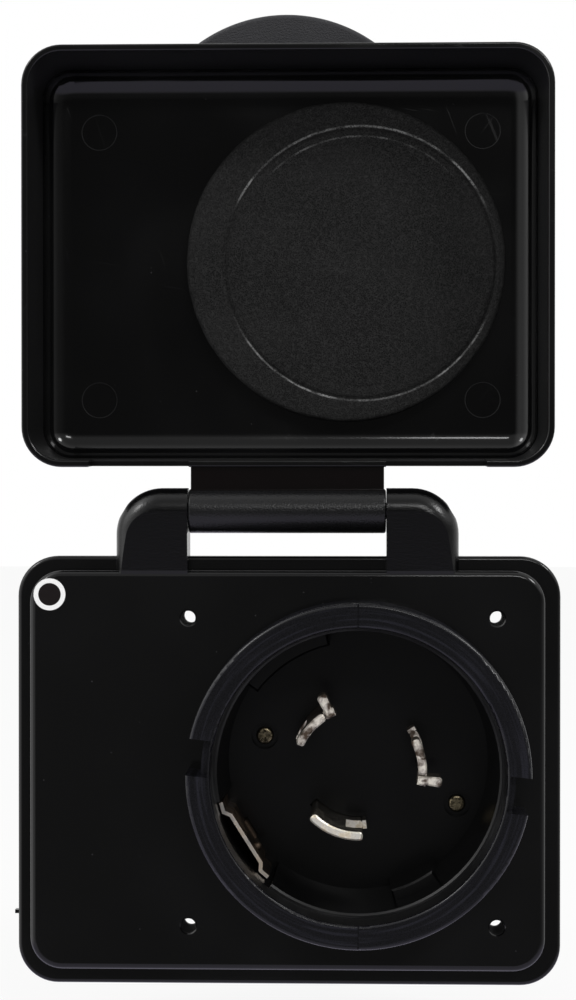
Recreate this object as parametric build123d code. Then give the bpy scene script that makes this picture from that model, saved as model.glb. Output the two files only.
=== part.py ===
"""Panel-mount power inlet with a hinged tray lid.

The pieces are drawn facing +Z with the panel as the XY plane, and are then stood upright, so that the
finished inlet faces -Y with +Z up. The origin is the middle of the four screw holes, on the flange's back.
Lengths are in millimetres and angles in degrees, counted anticlockwise from +X as seen from the front.
"""
import math
import os

from build123d import *

# Flange and raised face
FLANGE_WIDTH = 135.5
FLANGE_HEIGHT = 107.0
FLANGE_THICKNESS = 4.0
FLANGE_CORNER = 10.0
FLANGE_EDGE = 1.0
FLANGE_X = -13.5
FLANGE_Y = -0.3
FACE_LEFT_MARGIN = 3.7
FACE_RIGHT_MARGIN = 4.2
FACE_TOP_MARGIN = 3.4
FACE_BOTTOM_MARGIN = 4.6
FACE_LEVEL = 10.0
FACE_CORNER = 8.0
FACE_EDGE = 1.6
FACE_WALL = 3.0
GATE_STUB_LENGTH = 1.1
GATE_STUB_WIDTH = 0.9
GATE_STUB_Y = -36.3

# Panel screws and gasket
HOLE_SPACING_X = 76.2
HOLE_SPACING_Y = 76.2
HOLE_RADIUS = 1.75
HOLE_EDGE = 0.45
BOSS_WALL = 3.2
RIB_THICKNESS = 2.0
GASKET_THICKNESS = 1.5
GASKET_INSET = 1.0
GASKET_OPENING_CLEARANCE = 0.8

# Collar and cup
CUP_X = 3.9
CUP_Y = 0.8
COLLAR_RADIUS = 41.8
COLLAR_LEVEL = 25.0
COLLAR_ROUND = 0.9
MOUTH_RADIUS = 35.8
MOUTH_ROUND = 0.7
MOUTH_DEPTH = 9.0
LEDGE_CHAMFER = 0.5
WELL_RADIUS = 34.6
WELL_DRAFT = 1.5
FLOOR_DEPTH = 35.0
FLOOR_THICKNESS = 3.5
TUBE_WALL = 3.6
TUBE_TAIL = 8.5
SLOT_WIDTH = 8.9
SLOT_ANGLE = 173.5
SLOT_STEP_RADIUS = 38.2
SLOT_STEP_DEPTH = 4.5
MARK_WIDTH = 0.4
MARK_DEPTH = 0.25

# Ribs on the cup's wall
RIB_REACH = 1.9
RIB_EDGE = 0.5
RIB_DEPTH = 17.0
UPPER_RIB_START = 103.0
UPPER_RIB_END = 143.0
LOWER_RIB_START = 285.0
LOWER_RIB_END = 306.0

# Blades
BLADE_RADIUS = 15.8
BLADE_THICKNESS = 2.1
BLADE_TIP_DEPTH = 10.0
BLADE_EDGE = 0.4
BLADE_END_ROUND = 0.8
BLADE_CLEARANCE = 0.15
LINE_1_START = 121.5
LINE_1_END = 156.0
LINE_2_START = -2.5
LINE_2_END = 29.5
NEUTRAL_START = 224.0
NEUTRAL_END = 274.0
SHOULDER_ANGLE = 3.5
SHOULDER_HEIGHT = 6.0
NOTCH_ANGLE = 16.0
NOTCH_HEIGHT = 12.0
LUG_GAP_ANGLE = 1.6
LUG_ANGLE = 10.0
LUG_ARM_ANGLE = 7.0
LUG_REACH = 3.8
LUG_DROP = 0.8
LUG_HEIGHT = 8.0

# Ground clip
CLIP_START = 200.5
CLIP_END = 224.3
CLIP_RADIUS = 33.7
CLIP_THICKNESS = 0.9
CLIP_HOOK_RADIUS = 35.6
CLIP_HOOK_ANGLE = 6.2
CLIP_KNEE_ANGLE = 2.2
CLIP_DIMPLE_RADIUS = 1.2
CLIP_DIMPLE_ANGLE = 219.0
CLIP_DIMPLE_LEVEL = 1.0
CLIP_DEPTH = 17.0
CLIP_TAIL_WIDTH = 5.0
CLIP_POCKET_MARGIN = 0.4
CLIP_POCKET_ANGLE = 2.0

# Contact carrier
CARRIER_CLEARANCE = 0.2
CARRIER_THICKNESS = 13.5
CARRIER_SCREW_1_RADIUS = 24.6
CARRIER_SCREW_1_ANGLE = 166.0
CARRIER_SCREW_2_RADIUS = 27.6
CARRIER_SCREW_2_ANGLE = 336.0
CARRIER_SCREW_SHANK = 1.5
CARRIER_SCREW_HEAD = 2.2
CARRIER_SCREW_HEAD_HEIGHT = 1.6
CARRIER_SCREW_LENGTH = 11.0
SCREW_RECESS_RADIUS = 3.4
SCREW_RECESS_DEPTH = 1.9
SCREW_CLEARANCE = 0.1
CROSS_WIDTH = 0.7
CROSS_DEPTH = 0.8
CROSS_SHARE = 0.65
HEAD_ROUND_SHARE = 0.45

# Terminals
TERMINAL_ANGLE = 28.0
TERMINAL_DEPTH = 10.0
TERMINAL_HEIGHT = 9.0
TERMINAL_GAP = 0.1
GROUND_TERMINAL_WIDTH = 10.0
TERMINAL_SCREW_SHANK = 2.0
TERMINAL_SCREW_HEAD = 4.2
TERMINAL_SCREW_HEAD_HEIGHT = 2.6
TERMINAL_SCREW_LENGTH = 8.0

# Rear cover and cable gland
COVER_WALL = 2.4
COVER_CLEARANCE = 0.2
COVER_OVERLAP = 12.0
COVER_SHOULDER_GAP = 0.3
COVER_LIP = 2.2
COVER_ROOM = 22.0
COVER_BACK = 3.0
COVER_EDGE = 5.0
COVER_SCREW_COUNT = 3
COVER_SCREW_START = 65.0
COVER_SCREW_CIRCLE = 30.0
COVER_SCREW_SHANK = 1.5
COVER_SCREW_HEAD = 3.0
COVER_SCREW_HEAD_HEIGHT = 2.0
COVER_SCREW_GRIP = 7.0
COVER_POST_RADIUS = 4.2
COVER_SEAT_DEPTH = 2.0
NECK_RADIUS = 14.0
NECK_LENGTH = 14.0
CABLE_RADIUS = 9.2
BUSH_WALL = 1.8
BUSH_LENGTH = 13.0
BUSH_GAP = 0.2
BUSH_LEAD_IN = 1.3
NUT_CLEARANCE = 0.2
NUT_WALL = 4.2
NUT_STANDOFF = 2.0
NUT_EDGE = 1.0
NUT_LIP = 3.0
NUT_FLUTES = 12
NUT_FLUTE_RADIUS = 2.6
NUT_FLUTE_DEPTH = 1.2

# Hinge
HINGE_X = -13.7
HINGE_Y = 64.5
HINGE_LEVEL = 6.0
BARREL_RADIUS = 5.5
BARREL_WIDTH = 48.9
BARREL_EDGE = 0.6
POST_GAP = 0.15
POST_WIDTH = 17.9
POST_RADIUS = 5.7
POST_CORNER = 11.5
POST_ROUND = 5.4
PIN_RADIUS = 2.0
PIN_CLEARANCE = 0.05
PIN_END_GAP = 3.6
PIN_CHAMFER = 0.5
BORE_OVERSHOOT = 1.0

# Lid
LID_WIDTH = 132.4
LID_NEAR = 10.9
LID_FAR = 115.9
LID_WALL = 1.7
LID_CORNER = 10.0
LID_FLANGE_GAP = 0.5
LID_FLOOR = 2.5
LID_DRAFT = 2.0
LID_INNER_ROUND = 6.5
LID_OUTER_ROUND = 3.0
LID_RIM_ROUND = 0.5
RELIEF_WIDTH = 25.0
RELIEF_DEPTH = 8.5
LEAF_WIDTH = 48.0
LEAF_THICKNESS = 3.0
LEAF_DROP = 1.0
TAB_RADIUS = 39.3
TAB_REACH = 12.2
TAB_OFFSET_X = -1.0
TAB_THICKNESS = 3.0
TAB_SETBACK = 3.4
TAB_ROUND = 1.2
EJECTOR_RADIUS = 4.6
EJECTOR_DEPTH = 0.35
EJECTOR_INSET_X = 14.6
EJECTOR_INSET_Y = 15.9

# Seal pad
PAD_RADIUS = 41.1
PAD_THICKNESS = 8.0
PAD_GAP = 0.3
PAD_OFFSET_X = -3.1
PAD_OFFSET_Y = 0.1
PAD_EDGE = 0.6

# Levels and radii that follow from the sizes above
FACE_WIDTH = FLANGE_WIDTH - FACE_LEFT_MARGIN - FACE_RIGHT_MARGIN
FACE_X = FLANGE_X + (FACE_LEFT_MARGIN - FACE_RIGHT_MARGIN) / 2
FACE_HEIGHT = FLANGE_HEIGHT - FACE_TOP_MARGIN - FACE_BOTTOM_MARGIN
FACE_Y = FLANGE_Y + (FACE_BOTTOM_MARGIN - FACE_TOP_MARGIN) / 2
FACE_TOP = FACE_Y + FACE_HEIGHT / 2
FLOOR_LEVEL = COLLAR_LEVEL - FLOOR_DEPTH
MOUTH_LEVEL = COLLAR_LEVEL - MOUTH_DEPTH
WELL_FLOOR_RADIUS = WELL_RADIUS - WELL_DRAFT
TUBE_RADIUS = WELL_RADIUS + TUBE_WALL
CARRIER_LEVEL = FLOOR_LEVEL - FLOOR_THICKNESS
CARRIER_BACK = CARRIER_LEVEL - CARRIER_THICKNESS
TUBE_END = CARRIER_LEVEL - TUBE_TAIL
RIB_LEVEL = COLLAR_LEVEL - RIB_DEPTH
CLIP_LEVEL = COLLAR_LEVEL - CLIP_DEPTH
CLIP_TAIL_ANGLE = (CLIP_START + CLIP_END) / 2
CLIP_TAIL_RADIUS = CLIP_RADIUS * math.cos(math.radians((CLIP_END - CLIP_START) / 2)) - CLIP_THICKNESS / 2
TIP_LEVEL = COLLAR_LEVEL - BLADE_TIP_DEPTH
BLADE_INNER = BLADE_RADIUS - BLADE_THICKNESS / 2
BLADE_OUTER = BLADE_RADIUS + BLADE_THICKNESS / 2
TERMINAL_BACK = CARRIER_BACK - TERMINAL_HEIGHT
TERMINAL_INNER = BLADE_OUTER + TERMINAL_GAP
TERMINAL_SCREW_CIRCLE = TERMINAL_INNER + TERMINAL_DEPTH / 2
GROUND_SCREW_CIRCLE = CLIP_TAIL_RADIUS - CLIP_THICKNESS / 2 - TERMINAL_GAP - TERMINAL_DEPTH / 2
COVER_BORE = TUBE_RADIUS + COVER_CLEARANCE
COVER_RADIUS = COVER_BORE + COVER_WALL
COVER_FRONT = TUBE_END + COVER_OVERLAP
COVER_SHOULDER = TUBE_END - COVER_SHOULDER_GAP
COVER_INNER = COVER_BORE - COVER_LIP
COVER_INSIDE = CARRIER_BACK - COVER_ROOM
COVER_END = COVER_INSIDE - COVER_BACK
NECK_END = COVER_END - NECK_LENGTH
NECK_BORE = CABLE_RADIUS + BUSH_WALL + BUSH_GAP
NUT_BORE = NECK_RADIUS + NUT_CLEARANCE
NUT_RADIUS = NUT_BORE + NUT_WALL
NUT_FRONT = COVER_END - NUT_STANDOFF
NUT_SEAT = NECK_END - NUT_CLEARANCE
NUT_END = NUT_SEAT - NUT_LIP
POST_INNER = BARREL_WIDTH / 2 + POST_GAP
POST_OUTER = POST_INNER + POST_WIDTH
LID_RIM = 2 * HINGE_LEVEL - FLANGE_THICKNESS - LID_FLANGE_GAP
LID_DEPTH = COLLAR_LEVEL + PAD_GAP + PAD_THICKNESS - FLANGE_THICKNESS - LID_FLANGE_GAP
LID_INSIDE = LID_RIM - LID_DEPTH
LID_BACK = LID_INSIDE - LID_FLOOR
LID_HEIGHT = LID_FAR - LID_NEAR
LID_Y = HINGE_Y + (LID_FAR + LID_NEAR) / 2
DRAFT_SLOPE = math.tan(math.radians(LID_DRAFT))


def slab(width, height, low, high, corner, x=0.0, y=0.0):
    """Block with rounded corners between two levels."""
    outline = Pos(x, y, low) * RectangleRounded(width, height, corner)
    return extrude(outline, high - low)


def disc(radius, low, high, x=0.0, y=0.0):
    """Round block between two levels."""
    return Pos(x, y, (low + high) / 2) * Cylinder(radius, high - low)


def box_between(x0, x1, y0, y1, z0, z1):
    """Block between two opposite corners."""
    middle = Pos((x0 + x1) / 2, (y0 + y1) / 2, (z0 + z1) / 2)
    return middle * Box(abs(x1 - x0), abs(y1 - y0), abs(z1 - z0))


def sector(inner, outer, start, end, low, high):
    """Part of a ring between two radii, two angles and two levels."""
    outside = CenterArc((0, 0), outer, start, end - start)
    inside = CenterArc((0, 0), inner, start, end - start)
    sides = Line(inside @ 0, outside @ 0) + Line(inside @ 1, outside @ 1)
    face = make_face(outside + inside + sides)
    return Pos(0, 0, low) * extrude(face, high - low, dir=(0, 0, 1))


def turned(*points):
    """Solid of revolution about Z from (radius, level) points."""
    profile = Plane.XZ * make_face(Polyline(*points, close=True))
    return revolve(profile, Axis.Z)


def at_polar(radius, angle):
    """Place in the XY plane at a radius and an angle."""
    return Pos(radius * math.cos(math.radians(angle)), radius * math.sin(math.radians(angle)), 0)


def in_cup(piece):
    """Move a piece drawn about the cup's own axis to the cup."""
    return Pos(CUP_X, CUP_Y, 0) * piece


def hole_places():
    """Places of the four panel screws."""
    return GridLocations(HOLE_SPACING_X, HOLE_SPACING_Y, 2, 2)


def cover_screw_places():
    """Angles of the rear cover's screws."""
    step = 360 / COVER_SCREW_COUNT
    return [COVER_SCREW_START + step * number for number in range(COVER_SCREW_COUNT)]


def screw(shank, head, head_height, length, seat):
    """Pan-head cross-recessed screw along -Z, with the underside of its head at a level."""
    top = seat + head_height
    body = disc(shank, seat - length, seat) + fillet(
        disc(head, seat, top).edges().sort_by(Axis.Z)[-1], head_height * HEAD_ROUND_SHARE
    )
    for turn in (0, 90):
        body -= Pos(0, 0, top) * Rot(0, 0, turn) * Box(2 * CROSS_SHARE * head, CROSS_WIDTH, 2 * CROSS_DEPTH)
    return body


def blade_slots(low, high):
    """Clearance cuts for the three blades, about the cup's axis."""
    spare = math.degrees(BLADE_CLEARANCE / BLADE_RADIUS)
    cuts = Part()
    for start, end in blade_spans():
        cuts += sector(
            BLADE_INNER - BLADE_CLEARANCE, BLADE_OUTER + BLADE_CLEARANCE,
            start - spare, end + spare, low, high,
        )
    return cuts


def clip_tail(spare, low, high):
    """Strap of the ground clip that runs back through the floor, or its clearance cut."""
    reach = CLIP_THICKNESS / 2 + spare
    half = CLIP_TAIL_WIDTH / 2 + spare
    strap = box_between(CLIP_TAIL_RADIUS - reach, CLIP_TAIL_RADIUS + reach, -half, half, low, high)
    return Rot(0, 0, CLIP_TAIL_ANGLE) * strap


def blade_spans():
    """Start and end angles of the three blades."""
    return [(LINE_1_START, LINE_1_END), (LINE_2_START, LINE_2_END), (NEUTRAL_START, NEUTRAL_END)]


def carrier_screw_places():
    """Places of the two screws in the cup's floor, about the cup's axis."""
    return [
        at_polar(CARRIER_SCREW_1_RADIUS, CARRIER_SCREW_1_ANGLE),
        at_polar(CARRIER_SCREW_2_RADIUS, CARRIER_SCREW_2_ANGLE),
    ]


def hinge_post(side):
    """One hinge post, on the side given by -1 or 1, rounded at its top and its outer side."""
    foot_y = FACE_TOP - FACE_CORNER
    top_y = HINGE_Y + POST_RADIUS
    back = HINGE_LEVEL - POST_RADIUS
    front = HINGE_LEVEL + POST_RADIUS
    height = 2 * (top_y - foot_y)
    pillow = slab(
        2 * POST_OUTER, height, back, front, POST_CORNER, HINGE_X, top_y - height / 2
    )
    rims = pillow.faces().sort_by(Axis.Z)[0].edges() + pillow.faces().sort_by(Axis.Z)[-1].edges()
    pillow = fillet(rims, POST_ROUND)
    profile = make_face(Polyline(
        (top_y, back), (top_y, front), (HINGE_Y, front), (FACE_TOP, FACE_LEVEL),
        (foot_y, FACE_LEVEL - FACE_EDGE), (foot_y, back), close=True,
    ))
    start = POST_INNER if side > 0 else -POST_OUTER
    post = extrude(Plane.YZ.offset(HINGE_X + start) * profile, POST_WIDTH)
    return post & pillow


def cup_body():
    """Collar and tube of the cup, solid, about the cup's axis."""
    body = turned(
        (0, TUBE_END), (TUBE_RADIUS, TUBE_END), (TUBE_RADIUS, FACE_LEVEL - FACE_WALL),
        (COLLAR_RADIUS, FACE_LEVEL - FACE_WALL), (COLLAR_RADIUS, COLLAR_LEVEL), (0, COLLAR_LEVEL),
    )
    return fillet(body.edges().filter_by(GeomType.CIRCLE).sort_by(Axis.Z)[-1], COLLAR_ROUND)


def cup_hollow():
    """Mouth, drafted well and carrier bore of the cup, about the cup's axis."""
    wall = Polyline(
        (0, COLLAR_LEVEL), (0, FLOOR_LEVEL), (WELL_FLOOR_RADIUS, FLOOR_LEVEL),
        (WELL_RADIUS, MOUTH_LEVEL - LEDGE_CHAMFER), (WELL_RADIUS + LEDGE_CHAMFER, MOUTH_LEVEL),
        (MOUTH_RADIUS, MOUTH_LEVEL), (MOUTH_RADIUS, COLLAR_LEVEL - MOUTH_ROUND),
    )
    inset = MOUTH_ROUND * (1 - math.sqrt(0.5))
    lip = ThreePointArc(
        wall @ 1, (MOUTH_RADIUS + inset, COLLAR_LEVEL - inset), (MOUTH_RADIUS + MOUTH_ROUND, COLLAR_LEVEL)
    )
    front = Line(lip @ 1, wall @ 0)
    well = revolve(Plane.XZ * make_face(wall + lip + front), Axis.Z)
    for start, end in ((UPPER_RIB_START, UPPER_RIB_END), (LOWER_RIB_START, LOWER_RIB_END)):
        rib = sector(WELL_FLOOR_RADIUS - RIB_REACH, TUBE_RADIUS, start, end, FLOOR_LEVEL, RIB_LEVEL)
        well -= chamfer(rib.faces().sort_by(Axis.Z)[-1].edges(), RIB_EDGE)
    pocket = sector(
        CLIP_TAIL_RADIUS, CLIP_HOOK_RADIUS + CLIP_POCKET_MARGIN,
        CLIP_START - CLIP_HOOK_ANGLE - CLIP_POCKET_ANGLE, CLIP_END + CLIP_HOOK_ANGLE + CLIP_POCKET_ANGLE,
        FLOOR_LEVEL, MOUTH_LEVEL,
    )
    return well + pocket + disc(WELL_RADIUS, TUBE_END, CARRIER_LEVEL)


def collar_slots():
    """The two stepped slots across the collar, about the cup's axis."""
    half = SLOT_WIDTH / 2
    deep = box_between(-COLLAR_RADIUS, COLLAR_RADIUS, -half, half, FACE_LEVEL, COLLAR_LEVEL)
    deep -= disc(SLOT_STEP_RADIUS, FACE_LEVEL, COLLAR_LEVEL)
    step_level = COLLAR_LEVEL - SLOT_STEP_DEPTH
    step = box_between(-COLLAR_RADIUS, COLLAR_RADIUS, -half, half, step_level, COLLAR_LEVEL)
    step -= disc(MOUTH_RADIUS + MOUTH_ROUND, step_level, COLLAR_LEVEL)
    return Rot(0, 0, SLOT_ANGLE) * (deep + step)


def collar_marks():
    """Fine lines across the collar at its top and bottom, about the cup's axis."""
    half = MARK_WIDTH / 2
    line = box_between(-half, half, -COLLAR_RADIUS, COLLAR_RADIUS, COLLAR_LEVEL - MARK_DEPTH, COLLAR_LEVEL)
    return line - disc(MOUTH_RADIUS, COLLAR_LEVEL - MARK_DEPTH, COLLAR_LEVEL)


def floor_cuts():
    """Blade slots, clip slot and screw recesses in the cup's floor, about the cup's axis."""
    cuts = blade_slots(CARRIER_LEVEL, FLOOR_LEVEL)
    cuts += clip_tail(BLADE_CLEARANCE, CARRIER_LEVEL, FLOOR_LEVEL)
    for place in carrier_screw_places():
        cuts += place * disc(CARRIER_SCREW_SHANK + SCREW_CLEARANCE, CARRIER_LEVEL, FLOOR_LEVEL)
        cuts += place * disc(SCREW_RECESS_RADIUS, FLOOR_LEVEL - SCREW_RECESS_DEPTH, FLOOR_LEVEL)
    return cuts


def back_pocket():
    """Hollow behind the raised face, round the screw bosses and the ribs from them to the cup."""
    inner_level = FACE_LEVEL - FACE_WALL
    pocket = slab(
        FACE_WIDTH - 2 * FACE_WALL, FACE_HEIGHT - 2 * FACE_WALL, 0, inner_level, FACE_CORNER - FACE_WALL,
        FACE_X, FACE_Y,
    )
    for place in hole_places():
        pocket -= place * disc(HOLE_RADIUS + BOSS_WALL, 0, inner_level)
        dx = CUP_X - place.position.X
        dy = CUP_Y - place.position.Y
        half = RIB_THICKNESS / 2
        rib = box_between(0, math.hypot(dx, dy), -half, half, FLANGE_THICKNESS, inner_level)
        pocket -= place * Rot(0, 0, math.degrees(math.atan2(dy, dx))) * rib
    pocket -= in_cup(disc(TUBE_RADIUS, 0, inner_level))
    return pocket


def mounting_base():
    """Moulded plate with its raised face, collar, cup and hinge posts."""
    flange = slab(FLANGE_WIDTH, FLANGE_HEIGHT, 0, FLANGE_THICKNESS, FLANGE_CORNER, FLANGE_X, FLANGE_Y)
    flange = fillet(flange.faces().sort_by(Axis.Z)[-1].edges(), FLANGE_EDGE)
    face = slab(FACE_WIDTH, FACE_HEIGHT, 0, FACE_LEVEL, FACE_CORNER, FACE_X, FACE_Y)
    face = fillet(face.faces().sort_by(Axis.Z)[-1].edges(), FACE_EDGE)
    stub_x = FLANGE_X - FLANGE_WIDTH / 2
    stub = box_between(
        stub_x - GATE_STUB_LENGTH, stub_x + GATE_STUB_LENGTH,
        GATE_STUB_Y - GATE_STUB_WIDTH / 2, GATE_STUB_Y + GATE_STUB_WIDTH / 2, 0, FLANGE_THICKNESS / 2,
    )
    body = flange + face + stub + hinge_post(-1) + hinge_post(1)
    body -= back_pocket()
    body += in_cup(cup_body())
    body -= in_cup(cup_hollow() + collar_slots() + collar_marks() + floor_cuts())
    for place in hole_places():
        body -= place * turned(
            (0, 0), (HOLE_RADIUS, 0), (HOLE_RADIUS, FACE_LEVEL - HOLE_EDGE),
            (HOLE_RADIUS + HOLE_EDGE, FACE_LEVEL), (0, FACE_LEVEL),
        )
    pin_bore = Rot(0, 90, 0) * Cylinder(PIN_RADIUS + PIN_CLEARANCE, 2 * (POST_OUTER + BORE_OVERSHOOT))
    return body - Pos(HINGE_X, HINGE_Y, HINGE_LEVEL) * pin_bore


def panel_gasket():
    """Flat seal behind the flange."""
    sheet = slab(
        FLANGE_WIDTH - 2 * GASKET_INSET, FLANGE_HEIGHT - 2 * GASKET_INSET, -GASKET_THICKNESS, 0,
        FLANGE_CORNER - GASKET_INSET, FLANGE_X, FLANGE_Y,
    )
    sheet -= in_cup(disc(COVER_RADIUS + GASKET_OPENING_CLEARANCE, -GASKET_THICKNESS, 0))
    for place in hole_places():
        sheet -= place * disc(HOLE_RADIUS, -GASKET_THICKNESS, 0)
    return sheet


def hinge_pin():
    """Steel pin through the posts and the barrel, with rounded ends."""
    length = 2 * (POST_OUTER - PIN_END_GAP)
    pin = Cylinder(PIN_RADIUS, length)
    pin = chamfer(pin.edges().filter_by(GeomType.CIRCLE), PIN_CHAMFER)
    return Pos(HINGE_X, HINGE_Y, HINGE_LEVEL) * Rot(0, 90, 0) * pin


def blade(start, end):
    """Curved blade with a locking notch and a shoulder at its anticlockwise end, about the cup's axis."""
    body = sector(BLADE_INNER, BLADE_OUTER, start, end, TERMINAL_BACK, TIP_LEVEL)
    body = fillet(body.edges().filter_by(Axis.Z), BLADE_END_ROUND)
    tip_edges = body.faces().sort_by(Axis.Z)[-1].edges()
    body = chamfer(tip_edges, BLADE_EDGE)
    shoulder_top = FLOOR_LEVEL + SHOULDER_HEIGHT
    body += sector(BLADE_INNER, BLADE_OUTER, end, end + SHOULDER_ANGLE, FLOOR_LEVEL, shoulder_top)
    body -= sector(
        BLADE_INNER - BLADE_THICKNESS, BLADE_OUTER + BLADE_THICKNESS,
        end - NOTCH_ANGLE, end + SHOULDER_ANGLE, shoulder_top, shoulder_top + NOTCH_HEIGHT,
    )
    return body


def locking_lug(start):
    """Outward lug at a line blade's clockwise end, about the cup's axis."""
    top = TIP_LEVEL - LUG_DROP
    high = start - LUG_GAP_ANGLE
    low = start - LUG_ANGLE
    lug = sector(BLADE_INNER, BLADE_OUTER, low, high, top - LUG_HEIGHT, top)
    arm = sector(BLADE_INNER, BLADE_OUTER + LUG_REACH, high - LUG_ARM_ANGLE, high, top - LUG_HEIGHT, top)
    lug += fillet(arm.edges().filter_by(Axis.Z), BLADE_END_ROUND)
    lug = chamfer(lug.faces().sort_by(Axis.Z)[-1].edges(), BLADE_EDGE)
    neck = sector(BLADE_INNER, BLADE_OUTER, low, start, top - LUG_HEIGHT, top - 2 * LUG_DROP)
    return lug + neck


def line_blade(start, end):
    """Line blade: a curved blade with an outward lug."""
    return in_cup(blade(start, end) + locking_lug(start))


def neutral_blade():
    """Neutral blade: the widest curved blade, without a lug."""
    return in_cup(blade(NEUTRAL_START, NEUTRAL_END))


def ground_clip():
    """Spring strip across a chord of the cup, hooked at both ends, with a strap to the back."""
    start = at_polar(CLIP_RADIUS, CLIP_START).position
    end = at_polar(CLIP_RADIUS, CLIP_END).position
    hook_radius = CLIP_HOOK_RADIUS - CLIP_THICKNESS / 2
    first = at_polar(hook_radius, CLIP_START - CLIP_HOOK_ANGLE).position
    first_knee = at_polar(hook_radius, CLIP_START - CLIP_KNEE_ANGLE).position
    last_knee = at_polar(hook_radius, CLIP_END + CLIP_KNEE_ANGLE).position
    last = at_polar(hook_radius, CLIP_END + CLIP_HOOK_ANGLE).position
    path = Polyline(first, first_knee, start, end, last_knee, last)
    outline = Pos(0, 0, FLOOR_LEVEL) * trace(path, CLIP_THICKNESS)
    strip = extrude(outline, CLIP_LEVEL - FLOOR_LEVEL, dir=(0, 0, 1))
    strip += clip_tail(0, TERMINAL_BACK, FLOOR_LEVEL + CLIP_TAIL_WIDTH)
    dimple_radius = CLIP_TAIL_RADIUS / math.cos(math.radians(CLIP_DIMPLE_ANGLE - CLIP_TAIL_ANGLE))
    dimple_place = at_polar(dimple_radius, CLIP_DIMPLE_ANGLE) * Pos(0, 0, CLIP_DIMPLE_LEVEL)
    strip += dimple_place * Sphere(CLIP_DIMPLE_RADIUS)
    return in_cup(strip)


def contact_carrier():
    """Insulating disc behind the cup's floor."""
    body = disc(WELL_RADIUS - CARRIER_CLEARANCE, CARRIER_BACK, CARRIER_LEVEL)
    body -= blade_slots(CARRIER_BACK, CARRIER_LEVEL)
    body -= clip_tail(BLADE_CLEARANCE, CARRIER_BACK, CARRIER_LEVEL)
    screw_tip = FLOOR_LEVEL - SCREW_RECESS_DEPTH - CARRIER_SCREW_LENGTH
    for place in carrier_screw_places():
        body -= place * disc(
            CARRIER_SCREW_SHANK + SCREW_CLEARANCE, screw_tip - SCREW_CLEARANCE, CARRIER_LEVEL
        )
    for angle in cover_screw_places():
        pilot = disc(
            COVER_SCREW_SHANK + SCREW_CLEARANCE, CARRIER_BACK,
            CARRIER_BACK + COVER_SCREW_GRIP + SCREW_CLEARANCE,
        )
        body -= at_polar(COVER_SCREW_CIRCLE, angle) * pilot
    return in_cup(body)


def carrier_screws():
    """Two screws from the cup's floor into the carrier."""
    one = screw(
        CARRIER_SCREW_SHANK, CARRIER_SCREW_HEAD, CARRIER_SCREW_HEAD_HEIGHT, CARRIER_SCREW_LENGTH,
        FLOOR_LEVEL - SCREW_RECESS_DEPTH,
    )
    return Part() + [in_cup(place * one) for place in carrier_screw_places()]


def terminal_hole(radius):
    """Threaded hole of a terminal, at a radius along +X."""
    depth = TERMINAL_SCREW_LENGTH + SCREW_CLEARANCE
    return disc(TERMINAL_SCREW_SHANK + SCREW_CLEARANCE, TERMINAL_BACK, TERMINAL_BACK + depth, radius, 0)


def blade_terminal(start, end):
    """Terminal block seated on the carrier's back against a blade's tail."""
    half = TERMINAL_ANGLE / 2
    outer = TERMINAL_INNER + TERMINAL_DEPTH
    block = sector(TERMINAL_INNER, outer, -half, half, TERMINAL_BACK, CARRIER_BACK)
    block -= terminal_hole(TERMINAL_SCREW_CIRCLE)
    return in_cup(Rot(0, 0, (start + end) / 2) * block)


def ground_terminal():
    """Terminal block seated on the carrier's back against the ground clip's strap."""
    half = TERMINAL_DEPTH / 2
    block = box_between(
        GROUND_SCREW_CIRCLE - half, GROUND_SCREW_CIRCLE + half,
        -GROUND_TERMINAL_WIDTH / 2, GROUND_TERMINAL_WIDTH / 2, TERMINAL_BACK, CARRIER_BACK,
    )
    block -= terminal_hole(GROUND_SCREW_CIRCLE)
    return in_cup(Rot(0, 0, CLIP_TAIL_ANGLE) * block)


def terminal_screws():
    """One binding screw in each terminal, with its head at the back."""
    one = Rot(180, 0, 0) * screw(
        TERMINAL_SCREW_SHANK, TERMINAL_SCREW_HEAD, TERMINAL_SCREW_HEAD_HEIGHT, TERMINAL_SCREW_LENGTH,
        -TERMINAL_BACK,
    )
    places = [at_polar(TERMINAL_SCREW_CIRCLE, (start + end) / 2) for start, end in blade_spans()]
    places.append(at_polar(GROUND_SCREW_CIRCLE, CLIP_TAIL_ANGLE))
    return Part() + [in_cup(place * one) for place in places]


def rear_cover():
    """Wiring cover: a skirt over the cup's tube, a closed back with screw posts, and the cable neck."""
    shell = turned(
        (COVER_BORE, COVER_FRONT), (COVER_RADIUS, COVER_FRONT), (COVER_RADIUS, COVER_END + COVER_EDGE),
        (COVER_RADIUS - COVER_EDGE, COVER_END), (NECK_RADIUS, COVER_END), (NECK_RADIUS, NECK_END),
        (NECK_BORE, NECK_END), (NECK_BORE, COVER_INSIDE), (COVER_INNER - COVER_EDGE, COVER_INSIDE),
        (COVER_INNER, COVER_INSIDE + COVER_EDGE), (COVER_INNER, COVER_SHOULDER),
        (COVER_BORE, COVER_SHOULDER),
    )
    for angle in cover_screw_places():
        place = at_polar(COVER_SCREW_CIRCLE, angle)
        shell += place * disc(COVER_POST_RADIUS, COVER_END + COVER_BACK / 2, CARRIER_BACK)
        shell -= place * disc(COVER_SCREW_SHANK + SCREW_CLEARANCE, COVER_END, CARRIER_BACK)
        shell -= place * disc(COVER_SCREW_HEAD + SCREW_CLEARANCE, COVER_END, COVER_END + COVER_SEAT_DEPTH)
    return in_cup(shell)


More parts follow.
